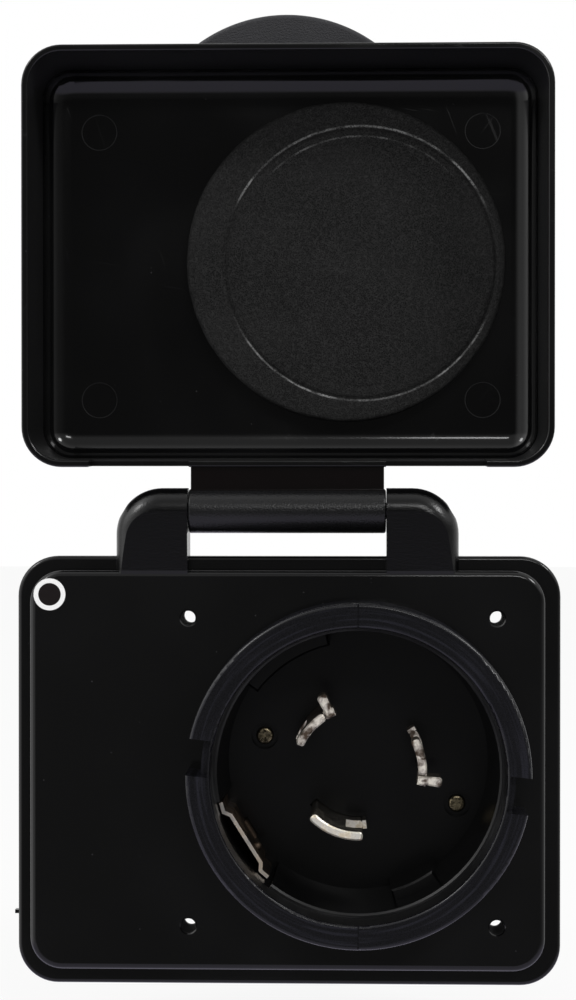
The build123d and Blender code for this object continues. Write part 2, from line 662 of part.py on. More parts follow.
def cover_screws():
    """Long screws from the back of the cover into the carrier."""
    seat = COVER_END + COVER_SEAT_DEPTH
    length = CARRIER_BACK + COVER_SCREW_GRIP - seat
    one = Rot(180, 0, 0) * screw(
        COVER_SCREW_SHANK, COVER_SCREW_HEAD, COVER_SCREW_HEAD_HEIGHT, length, -seat
    )
    places = [at_polar(COVER_SCREW_CIRCLE, angle) for angle in cover_screw_places()]
    return Part() + [in_cup(place * one) for place in places]


def gland_bush():
    """Rubber sleeve that grips the cable in the neck."""
    outer = CABLE_RADIUS + BUSH_WALL
    front = NUT_SEAT + BUSH_LENGTH
    return in_cup(turned(
        (CABLE_RADIUS, NUT_SEAT), (outer, NUT_SEAT), (outer, front),
        (CABLE_RADIUS + BUSH_WALL / 2, front), (CABLE_RADIUS, front - BUSH_LEAD_IN),
    ))


def gland_nut():
    """Fluted nut over the neck that holds the bush in."""
    nut = turned(
        (NUT_BORE, NUT_FRONT), (NUT_RADIUS - NUT_EDGE, NUT_FRONT), (NUT_RADIUS, NUT_FRONT - NUT_EDGE),
        (NUT_RADIUS, NUT_END + NUT_EDGE), (NUT_RADIUS - NUT_EDGE, NUT_END), (CABLE_RADIUS, NUT_END),
        (CABLE_RADIUS, NUT_SEAT), (NUT_BORE, NUT_SEAT),
    )
    flute = disc(NUT_FLUTE_RADIUS, NUT_END, NUT_FRONT)
    for place in PolarLocations(NUT_RADIUS + NUT_FLUTE_RADIUS - NUT_FLUTE_DEPTH, NUT_FLUTES):
        nut -= place * flute
    return in_cup(nut)


def lid_tray():
    """Drafted tray of the lid, open at its rim, with rounded edges."""
    rim = Pos(HINGE_X, LID_Y, LID_RIM) * RectangleRounded(LID_WIDTH, LID_HEIGHT, LID_CORNER)
    outer = extrude(rim, LID_RIM - LID_BACK, dir=(0, 0, -1), taper=LID_DRAFT)
    outer = fillet(outer.faces().sort_by(Axis.Z)[0].edges(), LID_OUTER_ROUND)
    mouth = Pos(HINGE_X, LID_Y, LID_RIM) * RectangleRounded(
        LID_WIDTH - 2 * LID_WALL, LID_HEIGHT - 2 * LID_WALL, LID_CORNER - LID_WALL
    )
    hollow = extrude(mouth, LID_DEPTH, dir=(0, 0, -1), taper=LID_DRAFT)
    hollow = fillet(hollow.faces().sort_by(Axis.Z)[0].edges(), LID_INNER_ROUND)
    tray = outer - hollow
    return fillet(tray.faces().sort_by(Axis.Z)[-1].edges(), LID_RIM_ROUND)


def finger_tab():
    """Half-moon tab on the lid's free edge."""
    low = LID_BACK + TAB_SETBACK
    wall = HINGE_Y + LID_FAR - DRAFT_SLOPE * (LID_RIM - low)
    centre_y = HINGE_Y + LID_FAR + TAB_REACH - TAB_RADIUS
    centre_x = HINGE_X + TAB_OFFSET_X
    moon = disc(TAB_RADIUS, low, low + TAB_THICKNESS, centre_x, centre_y)
    moon = fillet(moon.edges().filter_by(GeomType.CIRCLE), TAB_ROUND)
    keep = box_between(
        centre_x - TAB_RADIUS, centre_x + TAB_RADIUS, wall - LID_WALL / 2, centre_y + TAB_RADIUS,
        low, low + TAB_THICKNESS,
    )
    return moon & keep


def lid():
    """Lid in its open place, with the finger tab, hinge leaf and hinge barrel."""
    body = lid_tray() + finger_tab()
    leaf_top = LID_RIM - LEAF_DROP
    body += box_between(
        HINGE_X - LEAF_WIDTH / 2, HINGE_X + LEAF_WIDTH / 2, HINGE_Y, HINGE_Y + LID_NEAR + LID_WALL / 2,
        leaf_top - LEAF_THICKNESS, leaf_top,
    )
    barrel = Cylinder(BARREL_RADIUS, BARREL_WIDTH)
    barrel = Rot(0, 90, 0) * fillet(barrel.edges().filter_by(GeomType.CIRCLE), BARREL_EDGE)
    bore = Rot(0, 90, 0) * Cylinder(PIN_RADIUS + PIN_CLEARANCE, BARREL_WIDTH + 2 * BORE_OVERSHOOT)
    body += Pos(HINGE_X, HINGE_Y, HINGE_LEVEL) * barrel
    body -= Pos(HINGE_X, HINGE_Y, HINGE_LEVEL) * bore
    inner_y = HINGE_Y + LID_NEAR + LID_WALL + LID_INNER_ROUND
    for side in (-1, 1):
        near_x = HINGE_X + side * BARREL_WIDTH / 2
        body -= box_between(
            near_x, near_x + side * RELIEF_WIDTH, HINGE_Y + BARREL_RADIUS, inner_y,
            LID_RIM - RELIEF_DEPTH, LID_RIM,
        )
        for end in (-1, 1):
            mark_x = HINGE_X + side * (LID_WIDTH / 2 - LID_WALL - EJECTOR_INSET_X)
            mark_y = LID_Y + end * (LID_HEIGHT / 2 - LID_WALL - EJECTOR_INSET_Y)
            body -= disc(EJECTOR_RADIUS, LID_INSIDE - EJECTOR_DEPTH, LID_INSIDE, mark_x, mark_y)
    return body


def seal_pad():
    """Foam disc on the lid's floor, in front of the collar when the lid is shut."""
    x = CUP_X + PAD_OFFSET_X
    y = 2 * HINGE_Y - CUP_Y + PAD_OFFSET_Y
    pad = disc(PAD_RADIUS, LID_INSIDE, LID_INSIDE + PAD_THICKNESS, x, y)
    return fillet(pad.edges().sort_by(Axis.Z)[-1], PAD_EDGE)


PIECES = {
    "mounting_base": mounting_base(),
    "panel_gasket": panel_gasket(),
    "contact_carrier": contact_carrier(),
    "line_blade_1": line_blade(LINE_1_START, LINE_1_END),
    "line_blade_2": line_blade(LINE_2_START, LINE_2_END),
    "neutral_blade": neutral_blade(),
    "ground_clip": ground_clip(),
    "carrier_screws": carrier_screws(),
    "line_terminal_1": blade_terminal(LINE_1_START, LINE_1_END),
    "line_terminal_2": blade_terminal(LINE_2_START, LINE_2_END),
    "neutral_terminal": blade_terminal(NEUTRAL_START, NEUTRAL_END),
    "ground_terminal": ground_terminal(),
    "terminal_screws": terminal_screws(),
    "rear_cover": rear_cover(),
    "cover_screws": cover_screws(),
    "gland_bush": gland_bush(),
    "gland_nut": gland_nut(),
    "hinge_pin": hinge_pin(),
    "lid": lid(),
    "seal_pad": seal_pad(),
}

os.makedirs("parts", exist_ok=True)
for name, piece in PIECES.items():
    upright = Rot(90, 0, 0) * piece
    export_step(upright, os.path.join("parts", name + ".step"))
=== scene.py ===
"""Dressed scene of the panel-mount power inlet with its lid swung open.

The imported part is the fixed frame. The script gives each of its nodes a finish, makes the foam pad
and the small trim, and sets up the studio. Lengths are in metres, in the part's own frame.
"""

import logging
import math
from collections.abc import Callable
from dataclasses import dataclass, field
from enum import Enum
from functools import reduce

import bmesh
import bpy
from mathutils import Matrix, Vector, noise


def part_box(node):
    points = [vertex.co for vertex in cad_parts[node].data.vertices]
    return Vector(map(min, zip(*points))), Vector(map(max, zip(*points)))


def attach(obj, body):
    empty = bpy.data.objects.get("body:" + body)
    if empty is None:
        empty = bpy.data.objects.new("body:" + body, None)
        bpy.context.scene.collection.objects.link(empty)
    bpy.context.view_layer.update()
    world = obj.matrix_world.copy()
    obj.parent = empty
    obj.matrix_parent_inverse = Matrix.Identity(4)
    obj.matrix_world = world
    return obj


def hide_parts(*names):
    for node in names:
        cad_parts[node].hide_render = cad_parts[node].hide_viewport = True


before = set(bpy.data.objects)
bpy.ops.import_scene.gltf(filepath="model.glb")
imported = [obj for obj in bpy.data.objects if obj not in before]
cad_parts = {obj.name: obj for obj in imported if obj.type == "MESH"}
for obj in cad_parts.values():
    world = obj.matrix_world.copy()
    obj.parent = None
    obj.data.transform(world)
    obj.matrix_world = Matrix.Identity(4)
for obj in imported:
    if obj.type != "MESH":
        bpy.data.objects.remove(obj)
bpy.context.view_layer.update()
MM = 0.001
LOG = logging.getLogger("power_inlet")

Colour = tuple[float, float, float]
Point = tuple[float, float, float]
Socket = bpy.types.NodeSocket
Sockets = bpy.types.NodeOutputs

WHITE: Colour = (1.0, 1.0, 1.0)
# A bound beyond the part on every side
FAR = 1.0
# An inner radius that makes a ring a full disc
WHOLE = -1.0
# Factors that take Y out of a vector
FLAT: Point = (1.0, 0.0, 1.0)
# Tone in the pits of a grain, as a share of the full tone
PIT_SHARE = 0.7
# How far handled patches of a grain take on a paler tone
HANDLED_SHARE = 0.4
# Roughness at the roughest places of a grain, as a multiple of the least
GRAIN_ROUGHNESS = 1.2


class Body(Enum):
    """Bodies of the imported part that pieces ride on."""

    INLET = "inlet"
    LID = "lid_body"


class Side(Enum):
    """Sides of a level that a ring can lie on, with the sign for the test."""

    FRONT = 1.0
    BEHIND = -1.0


class RayKind(Enum):
    """Kinds of ray that the world and the floor tell apart, by their Light Path output."""

    CAMERA = "Is Camera Ray"
    GLOSSY = "Is Glossy Ray"
    TRANSMISSION = "Is Transmission Ray"


class NodeSheet:
    """Short-hand for laying out one node tree."""

    def __init__(self, tree: bpy.types.NodeTree) -> None:
        """Take over a tree and clear it.

        Args:
            tree: The node tree to fill.
        """
        self.tree = tree
        self.tree.nodes.clear()

    def feed(self, socket: Socket, value: object) -> None:
        """Link a socket to an input, or set the input's own value.

        Args:
            socket: The input socket.
            value: An output socket, or a number, vector or colour.
        """
        if isinstance(value, Socket):
            self.tree.links.new(value, socket)
        elif socket.type == "RGBA" and len(value) == 3:
            socket.default_value = (*value, 1.0)
        else:
            socket.default_value = value

    def add(self, kind: str, inputs: dict | None = None, **settings: object) -> bpy.types.Node:
        """Place a node.

        Args:
            kind: Blender's name for the node type.
            inputs: Sockets or values for its inputs, by name or place.
            settings: Other settings of the node.

        Returns:
            The new node.
        """
        node = self.tree.nodes.new(kind)
        for name, value in settings.items():
            setattr(node, name, value)
        for name, value in (inputs or {}).items():
            self.feed(node.inputs[name], value)
        return node

    def math(self, operation: str, *values: object) -> Socket:
        """Place a Math node and return its result.

        Args:
            operation: The Math node's operation.
            values: Sockets or numbers for its inputs, in order.

        Returns:
            The output socket.
        """
        return self.add("ShaderNodeMath", dict(enumerate(values)), operation=operation).outputs[0]

    def vector(self, operation: str, *values: object) -> Socket:
        """Place a Vector Math node and return its result.

        Args:
            operation: The Vector Math node's operation.
            values: Sockets or vectors for its inputs, in order.

        Returns:
            The output socket, with a number for LENGTH and DOT_PRODUCT.
        """
        node = self.add("ShaderNodeVectorMath", dict(enumerate(values)), operation=operation)
        return node.outputs["Value" if operation in ("LENGTH", "DOT_PRODUCT") else "Vector"]

    def parts(self, vector: Socket) -> Sockets:
        """Take a vector apart.

        Args:
            vector: The socket with the vector.

        Returns:
            The sockets with its X, Y and Z.
        """
        return self.add("ShaderNodeSeparateXYZ", {0: vector}).outputs

    def from_axis(self, place: object, centre: object) -> tuple[Sockets, Socket]:
        """Measure from an axis along Y.

        Args:
            place: Socket with the coordinates.
            centre: A point on the axis, or a socket with it.

        Returns:
            The sockets with X, Y and Z from the point, and the one with the distance from the axis.
        """
        local = self.vector("SUBTRACT", place, centre)
        return self.parts(local), self.vector("LENGTH", self.vector("MULTIPLY", local, FLAT))

    def fold(self, operation: str, values: list) -> Socket:
        """Join several values with one operation.

        Args:
            operation: The Math node's operation.
            values: The sockets to join.

        Returns:
            The output socket.
        """
        return reduce(lambda first, second: self.math(operation, first, second), values)

    def ramp(self, value: object, low: float, high: float, start: object = 0.0, end: object = 1.0) -> object:
        """Map a range of values smoothly to another.

        Args:
            value: The socket to map.
            low: Value that gives start.
            high: Value that gives end.
            start: Result at low.
            end: Result at high.

        Returns:
            The output socket.
        """
        given = {"Value": value, "From Min": low, "From Max": high, "To Min": start, "To Max": end}
        return self.add("ShaderNodeMapRange", given, interpolation_type="SMOOTHSTEP").outputs[0]

    def mix(self, share: object, first: object, second: object) -> Socket:
        """Mix two colours.

        Args:
            share: Share of the second colour.
            first: Colour or socket at share 0.
            second: Colour or socket at share 1.

        Returns:
            The output socket.
        """
        return self.add("ShaderNodeMix", {0: share, 6: first, 7: second}, data_type="RGBA").outputs[2]

    def noise(self, place: object, scale: object, detail: float) -> Sockets:
        """Place a noise texture.

        Args:
            place: Socket with the coordinates.
            scale: Number of features in a metre, or a socket with it.
            detail: Number of finer octaves.

        Returns:
            The sockets with the noise's value and colour.
        """
        return self.add("ShaderNodeTexNoise", {"Vector": place, "Scale": scale, "Detail": detail}).outputs


@dataclass(frozen=True)
class Effect:
    """A shader node group that several finishes share, built once.

    Attributes:
        name: Name of the group.
        inputs: Input names with their socket types.
        outputs: Output names with their socket types.
        lay: Function that fills the group's sheet from the input sockets and returns the output sockets.
    """

    name: str
    inputs: dict[str, str]
    outputs: dict[str, str]
    lay: Callable[[NodeSheet, Sockets], dict]

    def tree(self) -> bpy.types.NodeTree:
        """Build the group, or find it if it is built already.

        Returns:
            The group's node tree.
        """
        made = bpy.data.node_groups.get(self.name)
        if made:
            return made
        made = bpy.data.node_groups.new(self.name, "ShaderNodeTree")
        for name, kind in self.inputs.items():
            made.interface.new_socket(name, in_out="INPUT", socket_type=kind)
        for name, kind in self.outputs.items():
            made.interface.new_socket(name, in_out="OUTPUT", socket_type=kind)
        sheet = NodeSheet(made)
        results = self.lay(sheet, sheet.add("NodeGroupInput").outputs)
        sheet.add("NodeGroupOutput", results)
        return made


def lay_grain(sheet: NodeSheet, given: Sockets) -> dict:
    """Fill the spark-eroded grain of a textured mould: rounded pits and fine noise.

    Args:
        sheet: The group's sheet.
        given: Its input sockets.

    Returns:
        Its output sockets by name.
    """
    pits = sheet.add("ShaderNodeTexVoronoi", {"Vector": given["Place"], "Scale": given["Scale"]})
    fine = sheet.noise(given["Place"], given["Scale"], 4.0)[0]
    height = sheet.math("MULTIPLY_ADD", fine, 0.6, pits.outputs["Distance"])
    return {"Height": height, "Tone": sheet.ramp(height, 0.3, 1.1)}


def lay_clouds(sheet: NodeSheet, given: Sockets) -> dict:
    """Fill soft patches, as handling and flow leave on a moulding.

    Args:
        sheet: The group's sheet.
        given: Its input sockets.

    Returns:
        Its output sockets by name.
    """
    broad = sheet.noise(given["Place"], given["Scale"], 5.0)[1]
    warp = sheet.vector("MULTIPLY_ADD", broad, (0.004, 0.004, 0.004), given["Place"])
    patches = sheet.noise(warp, given["Scale"], 2.0)[0]
    return {"Mask": sheet.ramp(patches, 0.35, 0.68)}


def lay_scratches(sheet: NodeSheet, given: Sockets) -> dict:
    """Fill short hairline scratches that run several ways.

    Args:
        sheet: The group's sheet.
        given: Its input sockets.

    Returns:
        Its output sockets by name.
    """
    masks = []
    for angle in (0.35, 1.4, 2.5):
        turn = {"Vector": given["Place"], "Angle": angle}
        turned = sheet.add("ShaderNodeVectorRotate", turn, rotation_type="Y_AXIS").outputs[0]
        long = sheet.vector("MULTIPLY", turned, (1.0, 1.0, 0.035))
        masks.append(sheet.ramp(sheet.noise(long, given["Scale"], 1.0)[0], 0.72, 0.78))
    return {"Mask": sheet.fold("MAXIMUM", masks)}


def lay_specks(sheet: NodeSheet, given: Sockets) -> dict:
    """Fill scattered specks of dust.

    Args:
        sheet: The group's sheet.
        given: Its input sockets.

    Returns:
        Its output sockets by name.
    """
    cells = sheet.add("ShaderNodeTexVoronoi", {"Vector": given["Place"], "Scale": given["Scale"]})
    dots = sheet.ramp(cells.outputs["Distance"], 0.10, 0.04)
    chosen = sheet.add("ShaderNodeSeparateColor", {0: cells.outputs["Color"]}).outputs[0]
    return {"Mask": sheet.math("MULTIPLY", dots, sheet.math("GREATER_THAN", chosen, given["Spare"]))}


def lay_zone(sheet: NodeSheet, given: Sockets) -> dict:
    """Fill a mask that is 1 inside a box.

    Args:
        sheet: The group's sheet.
        given: Its input sockets.

    Returns:
        Its output sockets by name.
    """
    place, low, high = (sheet.parts(given[name]) for name in ("Place", "Low", "High"))
    tests = []
    for axis in range(3):
        tests.append(sheet.math("GREATER_THAN", place[axis], low[axis]))
        tests.append(sheet.math("LESS_THAN", place[axis], high[axis]))
    return {"Mask": sheet.fold("MULTIPLY", tests)}


def lay_ring(sheet: NodeSheet, given: Sockets) -> dict:
    """Fill a mask that is 1 on one side of a level, between two radii from an axis along Y.

    Args:
        sheet: The group's sheet.
        given: Its input sockets.

    Returns:
        Its output sockets by name.
    """
    local, radius = sheet.from_axis(given["Place"], given["Centre"])
    tests = [
        sheet.math("GREATER_THAN", radius, given["Inner"]),
        sheet.math("LESS_THAN", radius, given["Outer"]),
        sheet.math("LESS_THAN", sheet.math("MULTIPLY", local[1], given["Side"]), 0.0),
    ]
    return {"Mask": sheet.fold("MULTIPLY", tests)}


def lay_streaks(sheet: NodeSheet, given: Sockets) -> dict:
    """Fill fine streaks that run round an axis along Y, as a turned mould leaves.

    Args:
        sheet: The group's sheet.
        given: Its input sockets.

    Returns:
        Its output sockets by name.
    """
    local, radius = sheet.from_axis(given["Place"], given["Centre"])
    rings = sheet.math("MULTIPLY", radius, given["Scale"])
    turn = sheet.math("MULTIPLY", sheet.math("ARCTAN2", local[0], local[2]), 1.6)
    polar = sheet.add("ShaderNodeCombineXYZ", {0: rings, 1: turn}).outputs[0]
    return {"Mask": sheet.ramp(sheet.noise(polar, 1.0, 3.0)[0], 0.46, 0.74)}


VECTOR = "NodeSocketVector"
FLOAT = "NodeSocketFloat"
SCALED = {"Place": VECTOR, "Scale": FLOAT}
MASK = {"Mask": FLOAT}
RADII = {"Inner": FLOAT, "Outer": FLOAT}
GRAIN = Effect("moulded_grain", SCALED, {"Height": FLOAT, "Tone": FLOAT}, lay_grain)
CLOUDS = Effect("soft_patches", SCALED, MASK, lay_clouds)
SCRATCHES = Effect("hairline_scratches", SCALED, MASK, lay_scratches)
SPECKS = Effect("dust_specks", {**SCALED, "Spare": FLOAT}, MASK, lay_specks)
STREAKS = Effect("turned_streaks", {**SCALED, "Centre": VECTOR}, MASK, lay_streaks)
ZONE = Effect("zone_box", {"Place": VECTOR, "Low": VECTOR, "High": VECTOR}, MASK, lay_zone)
RING = Effect("zone_ring", {"Place": VECTOR, "Centre": VECTOR, "Side": FLOAT, **RADII}, MASK, lay_ring)


def shaded(tone: Colour, share: float) -> Colour:
    """Make a colour darker or paler.

    Args:
        tone: The colour.
        share: Factor on each of its parts.

    Returns:
        The new colour.
    """
    return tuple(share * part for part in tone)


class Canvas(NodeSheet):
    """The sheet of one material, with the shader that it feeds."""

    def __init__(self, tree: bpy.types.NodeTree) -> None:
        """Clear a material's tree and place its shader.

        Args:
            tree: The material's node tree.
        """
        super().__init__(tree)
        self.shader = self.add("ShaderNodeBsdfPrincipled")
        self.add("ShaderNodeOutputMaterial", {"Surface": self.shader.outputs[0]})
        coordinates = self.add("ShaderNodeTexCoord").outputs
        self.place = coordinates["Object"]
        self.normal = coordinates["Normal"]

    def coat(self, values: dict[str, object]) -> None:
        """Feed the shader.

        Args:
            values: Sockets or values by the names of the shader's inputs.
        """
        for name, value in values.items():
            self.feed(self.shader.inputs[name], value)

    def effect(self, kind: Effect, **given: object) -> Sockets:
        """Place a shared effect at the object's coordinates.

        Args:
            kind: The effect.
            given: Sockets or values for its other inputs.

        Returns:
            The effect's outputs.
        """
        return self.add("ShaderNodeGroup", {"Place": self.place, **given}, node_tree=kind.tree()).outputs

    def bump(self, height: object, strength: float, distance: float, **under: object) -> Socket:
        """Place a bump.

        Args:
            height: Socket with its height.
            strength: Its strength.
            distance: Its full height.
            under: The Normal of a bump that it lies on.

        Returns:
            The socket with the normal.
        """
        given = {"Strength": strength, "Distance": distance, "Height": height, **under}
        return self.add("ShaderNodeBump", given).outputs[0]


@dataclass(frozen=True)
class Finish:
    """A surface finish that makes one material.

    Attributes:
        name: Name of the material.
    """

    name: str

    def material(self) -> bpy.types.Material:
        """Make the material, or find it if it is made already.

        Returns:
            The material.
        """
        made = bpy.data.materials.get(self.name)
        if made:
            return made
        made = bpy.data.materials.new(self.name)
        made.use_nodes = True
        self.paint(Canvas(made.node_tree))
        return made

    def paint(self, canvas: Canvas) -> None:
        """Lay out the finish's nodes.

        Args:
            canvas: The material's sheet.
        """
        raise NotImplementedError


@dataclass(frozen=True)
class Zone:
    """A box of the part's frame.

    Attributes:
        low: Lowest corner.
        high: Highest corner.
    """

    low: Point
    high: Point

    def mask(self, canvas: Canvas) -> Socket:
        """Place the zone's mask.

        Args:
            canvas: The material's sheet.

        Returns:
            The socket with the mask.
        """
        return canvas.effect(ZONE, Low=self.low, High=self.high)["Mask"]


@dataclass(frozen=True)
class RingZone:
    """A ring of the part's frame in front of a point or behind it, about an axis along Y.

    Attributes:
        centre: Point on the axis.
        inner: Inner radius, or WHOLE.
        outer: Outer radius.
        side: Where it lies.
    """

    centre: Point
    inner: float
    outer: float
    side: Side = Side.FRONT

    def mask(self, canvas: Canvas) -> Socket:
        """Place the zone's mask.

        Args:
            canvas: The material's sheet.

        Returns:
            The socket with the mask.
        """
        given = {"Centre": self.centre, "Inner": self.inner, "Outer": self.outer, "Side": self.side.value}
        return canvas.effect(RING, **given)["Mask"]


@dataclass(frozen=True)
class OuterZone(Zone):
    """Faces of a tray in a box that look away from its middle or out of its back.

    Attributes:
        middle: A point on the tray's middle line.
    """

    middle: Point

    def mask(self, canvas: Canvas) -> Socket:
        """Place the zone's mask.

        Args:
            canvas: The material's sheet.

        Returns:
            The socket with the mask.
        """
        local = canvas.vector("SUBTRACT", canvas.place, self.middle)
        aside = canvas.vector("NORMALIZE", canvas.vector("MULTIPLY", local, FLAT))
        away = canvas.vector("ADD", aside, (0.0, 1.0, 0.0))
        facing = canvas.vector("DOT_PRODUCT", canvas.normal, away)
        return canvas.math("MULTIPLY", super().mask(canvas), canvas.math("GREATER_THAN", facing, 0.0))


@dataclass(frozen=True)
class Patch:
    """Zones of a moulding that have a texture of their own.

    Attributes:
        zones: Where they are.
        tone: Colour.
        roughness: Roughness.
        relief: Share of the full grain's height.
        axis: A point on the axis of its streaks, where it has them.
        streak: How many times paler a streak is.
    """

    zones: tuple[Zone | RingZone, ...]
    tone: Colour
    roughness: float
    relief: float = 1.0
    axis: Point | None = None
    streak: float = 4.5


@dataclass(frozen=True)
class MouldedBlack(Finish):
    """Black moulding that is polished in general and textured in some patches, some of whose tones are
    painted shade, highlight or reflection.

    Attributes:
        tone: Colour of the polished plastic.
        gloss: Roughness of the polished plastic.
        shine: Specular level of the whole moulding.
        wear: How many times paler and duller the polish is where it is handled.
        lift: How many times paler a grain is where it is handled.
        dust: Colour of dust.
        grain: Size of a grain.
        ripple: Width of the ripples that the flow leaves.
        streak_gap: Spacing of the streaks in patches that have them.
        patches: Patches with a texture of their own.
    """

    tone: Colour = (0.0021, 0.0021, 0.0022)
    gloss: float = 0.11
    shine: float = 0.25
    wear: float = 1.5
    lift: float = 1.6
    dust: Colour = (0.05, 0.05, 0.052)
    grain: float = 0.42 * MM
    ripple: float = 7 * MM
    streak_gap: float = 0.8 * MM
    patches: tuple[Patch, ...] = ()

    def paint(self, canvas: Canvas) -> None:
        """Lay out the finish's nodes.

        Args:
            canvas: The material's sheet.
        """
        clouds = canvas.effect(CLOUDS, Scale=24.0)["Mask"]
        hairlines = canvas.effect(SCRATCHES, Scale=1500.0)["Mask"]
        specks = canvas.effect(SPECKS, Scale=420.0, Spare=0.93)["Mask"]
        grain = canvas.effect(GRAIN, Scale=1 / self.grain)
        tone = canvas.mix(clouds, self.tone, shaded(self.tone, self.wear))
        tone = canvas.mix(canvas.math("MULTIPLY", specks, 0.4), tone, self.dust)
        rough = canvas.ramp(clouds, 0.0, 1.0, self.gloss, self.wear * self.gloss)
        rough = canvas.math("MULTIPLY_ADD", hairlines, 0.10, rough)
        rough = canvas.math("MULTIPLY_ADD", specks, 0.3, rough)
        handled = canvas.math("MULTIPLY", clouds, HANDLED_SHARE)
        relief = 0.0
        for patch in self.patches:
            share = canvas.fold("MAXIMUM", [zone.mask(canvas) for zone in patch.zones])
            speckled = canvas.mix(grain["Tone"], shaded(patch.tone, PIT_SHARE), patch.tone)
            speckled = canvas.mix(handled, speckled, shaded(patch.tone, self.lift))
            if patch.axis:
                streaks = canvas.effect(STREAKS, Centre=patch.axis, Scale=1 / self.streak_gap)["Mask"]
                speckled = canvas.mix(streaks, speckled, shaded(patch.tone, patch.streak))
            tone = canvas.mix(share, tone, speckled)
            matt = canvas.ramp(grain["Tone"], 0.0, 1.0, patch.roughness, GRAIN_ROUGHNESS * patch.roughness)
            rough = canvas.math("MULTIPLY_ADD", canvas.math("SUBTRACT", matt, rough), share, rough)
            relief = canvas.math("MULTIPLY_ADD", share, patch.relief, relief)
        wave = canvas.bump(canvas.noise(canvas.place, 1 / self.ripple, 1.0)[0], 0.25, 0.02 * MM)
        height = canvas.math("MULTIPLY", grain["Height"], relief)
        canvas.coat({
            "Base Color": tone,
            "Roughness": rough,
            "Specular IOR Level": self.shine,
            "Normal": canvas.bump(height, 0.8, 0.06 * MM, Normal=wave),
        })


@dataclass(frozen=True)
class GrainedPlastic(Finish):
    """Grained plastic or rubber of one tone.

    Attributes:
        tone: Colour.
        roughness: Roughness.
        lift: How many times paler it is where it is handled.
        dust: Colour of dust.
        grain: Size of a grain.
        relief: Height of the grain.
    """

    tone: Colour = (0.012, 0.012, 0.0125)
    roughness: float = 0.45
    lift: float = 1.7
    dust: Colour = (0.08, 0.08, 0.08)
    grain: float = 0.5 * MM
    relief: float = 0.05 * MM

    def paint(self, canvas: Canvas) -> None:
        """Lay out the finish's nodes.

        Args:
            canvas: The material's sheet.
        """
        grain = canvas.effect(GRAIN, Scale=1 / self.grain)
        clouds = canvas.effect(CLOUDS, Scale=40.0)["Mask"]
        specks = canvas.effect(SPECKS, Scale=380.0, Spare=0.9)["Mask"]
        handled = canvas.math("MULTIPLY", clouds, HANDLED_SHARE)
        tone = canvas.mix(grain["Tone"], shaded(self.tone, PIT_SHARE), self.tone)
        tone = canvas.mix(handled, tone, shaded(self.tone, self.lift))
        canvas.coat({
            "Base Color": canvas.mix(canvas.math("MULTIPLY", specks, 0.35), tone, self.dust),
            "Roughness": canvas.ramp(clouds, 0.0, 1.0, self.roughness, GRAIN_ROUGHNESS * self.roughness),
            "Normal": canvas.bump(grain["Height"], 0.8, self.relief),
        })


@dataclass(frozen=True)
class CellFoam(Finish):
    """Closed-cell foam with fine speckle and a painted highlight along its pressed ring.

    Attributes:
        tone: Colour of the foam's skin.
        pit_tone: Colour in its pores.
        ring_highlight_tone: Colour of the painted highlight on the pressed ring.
        shine: Specular level.
        pore: Size of a pore.
        clump: Size of a clump of pores.
        wear: Size of a run of the painted ring highlight, which breaks up at random.
        ring_centre: Middle of the pressed ring.
        ring_highlight_radius: Radius of the painted ring highlight.
        ring_highlight_width: Half width of the painted ring highlight.
        inner_arc: Radius of the faint painted highlight arc inside the ring's top, as a share of the ring's.
    """

    tone: Colour = (0.0180, 0.0180, 0.0178)
    pit_tone: Colour = (0.0030, 0.0030, 0.0030)
    ring_highlight_tone: Colour = (0.22, 0.22, 0.22)
    shine: float = 0.09
    pore: float = 0.40 * MM
    clump: float = 1.1 * MM
    wear: float = 5 * MM
    ring_centre: Point = (0.0, 0.0, 0.0)
    ring_highlight_radius: float = 30.0 * MM
    ring_highlight_width: float = 0.35 * MM
    inner_arc: float = 0.925

    def paint(self, canvas: Canvas) -> None:
        """Lay out the finish's nodes.

        Args:
            canvas: The material's sheet.
        """
        grain = canvas.effect(GRAIN, Scale=1 / self.pore)
        clouds = canvas.effect(CLOUDS, Scale=60.0)["Mask"]
        clumps = canvas.noise(canvas.place, 1 / self.clump, 6.0)[0]
        pores = canvas.math("MULTIPLY", grain["Tone"], canvas.ramp(clumps, 0.3, 0.7, 0.4, 1.0))
        tone = canvas.mix(pores, self.pit_tone, self.tone)
        tone = canvas.mix(canvas.math("MULTIPLY", clouds, 0.15), tone, shaded(self.tone, 1.35))
        # Painted highlight: a pale line along the pressed ring, strongest at its top and bottom where light
        # catches its bank, with a faint arc inside its top, broken into runs
        local, away = canvas.from_axis(canvas.place, self.ring_centre)
        level = local[2]
        ends = canvas.ramp(canvas.math("ABSOLUTE", level), 0.35 * self.ring_highlight_radius, 0.62 * self.ring_highlight_radius)
        runs = canvas.ramp(canvas.noise(canvas.place, 1 / self.wear, 5.0)[0], 0.38, 0.66, 0.12, 0.9)
        top = canvas.ramp(level, 0.60 * self.ring_highlight_radius, 0.85 * self.ring_highlight_radius, 0.0, 0.45)
        arc = self.inner_arc * self.ring_highlight_radius
        lines = []
        for radius, core, share in ((self.ring_highlight_radius, 0.3, 1.0), (arc, 0.2, top)):
            off = canvas.math("ABSOLUTE", canvas.math("SUBTRACT", away, radius))
            line = canvas.ramp(off, self.ring_highlight_width, core * self.ring_highlight_width)
            lines.append(canvas.math("MULTIPLY", line, share))
        # The product is the share of the painted ring highlight
        worn = [canvas.fold("MAXIMUM", lines), ends, runs, canvas.ramp(grain["Tone"], 0.1, 0.6)]
        canvas.coat({
            "Base Color": canvas.mix(canvas.fold("MULTIPLY", worn), tone, self.ring_highlight_tone),
            "Roughness": canvas.ramp(grain["Tone"], 0.0, 1.0, 0.95, 0.75),
            "Specular IOR Level": self.shine,
            "Normal": canvas.bump(pores, 1.0, 0.12 * MM),
        })


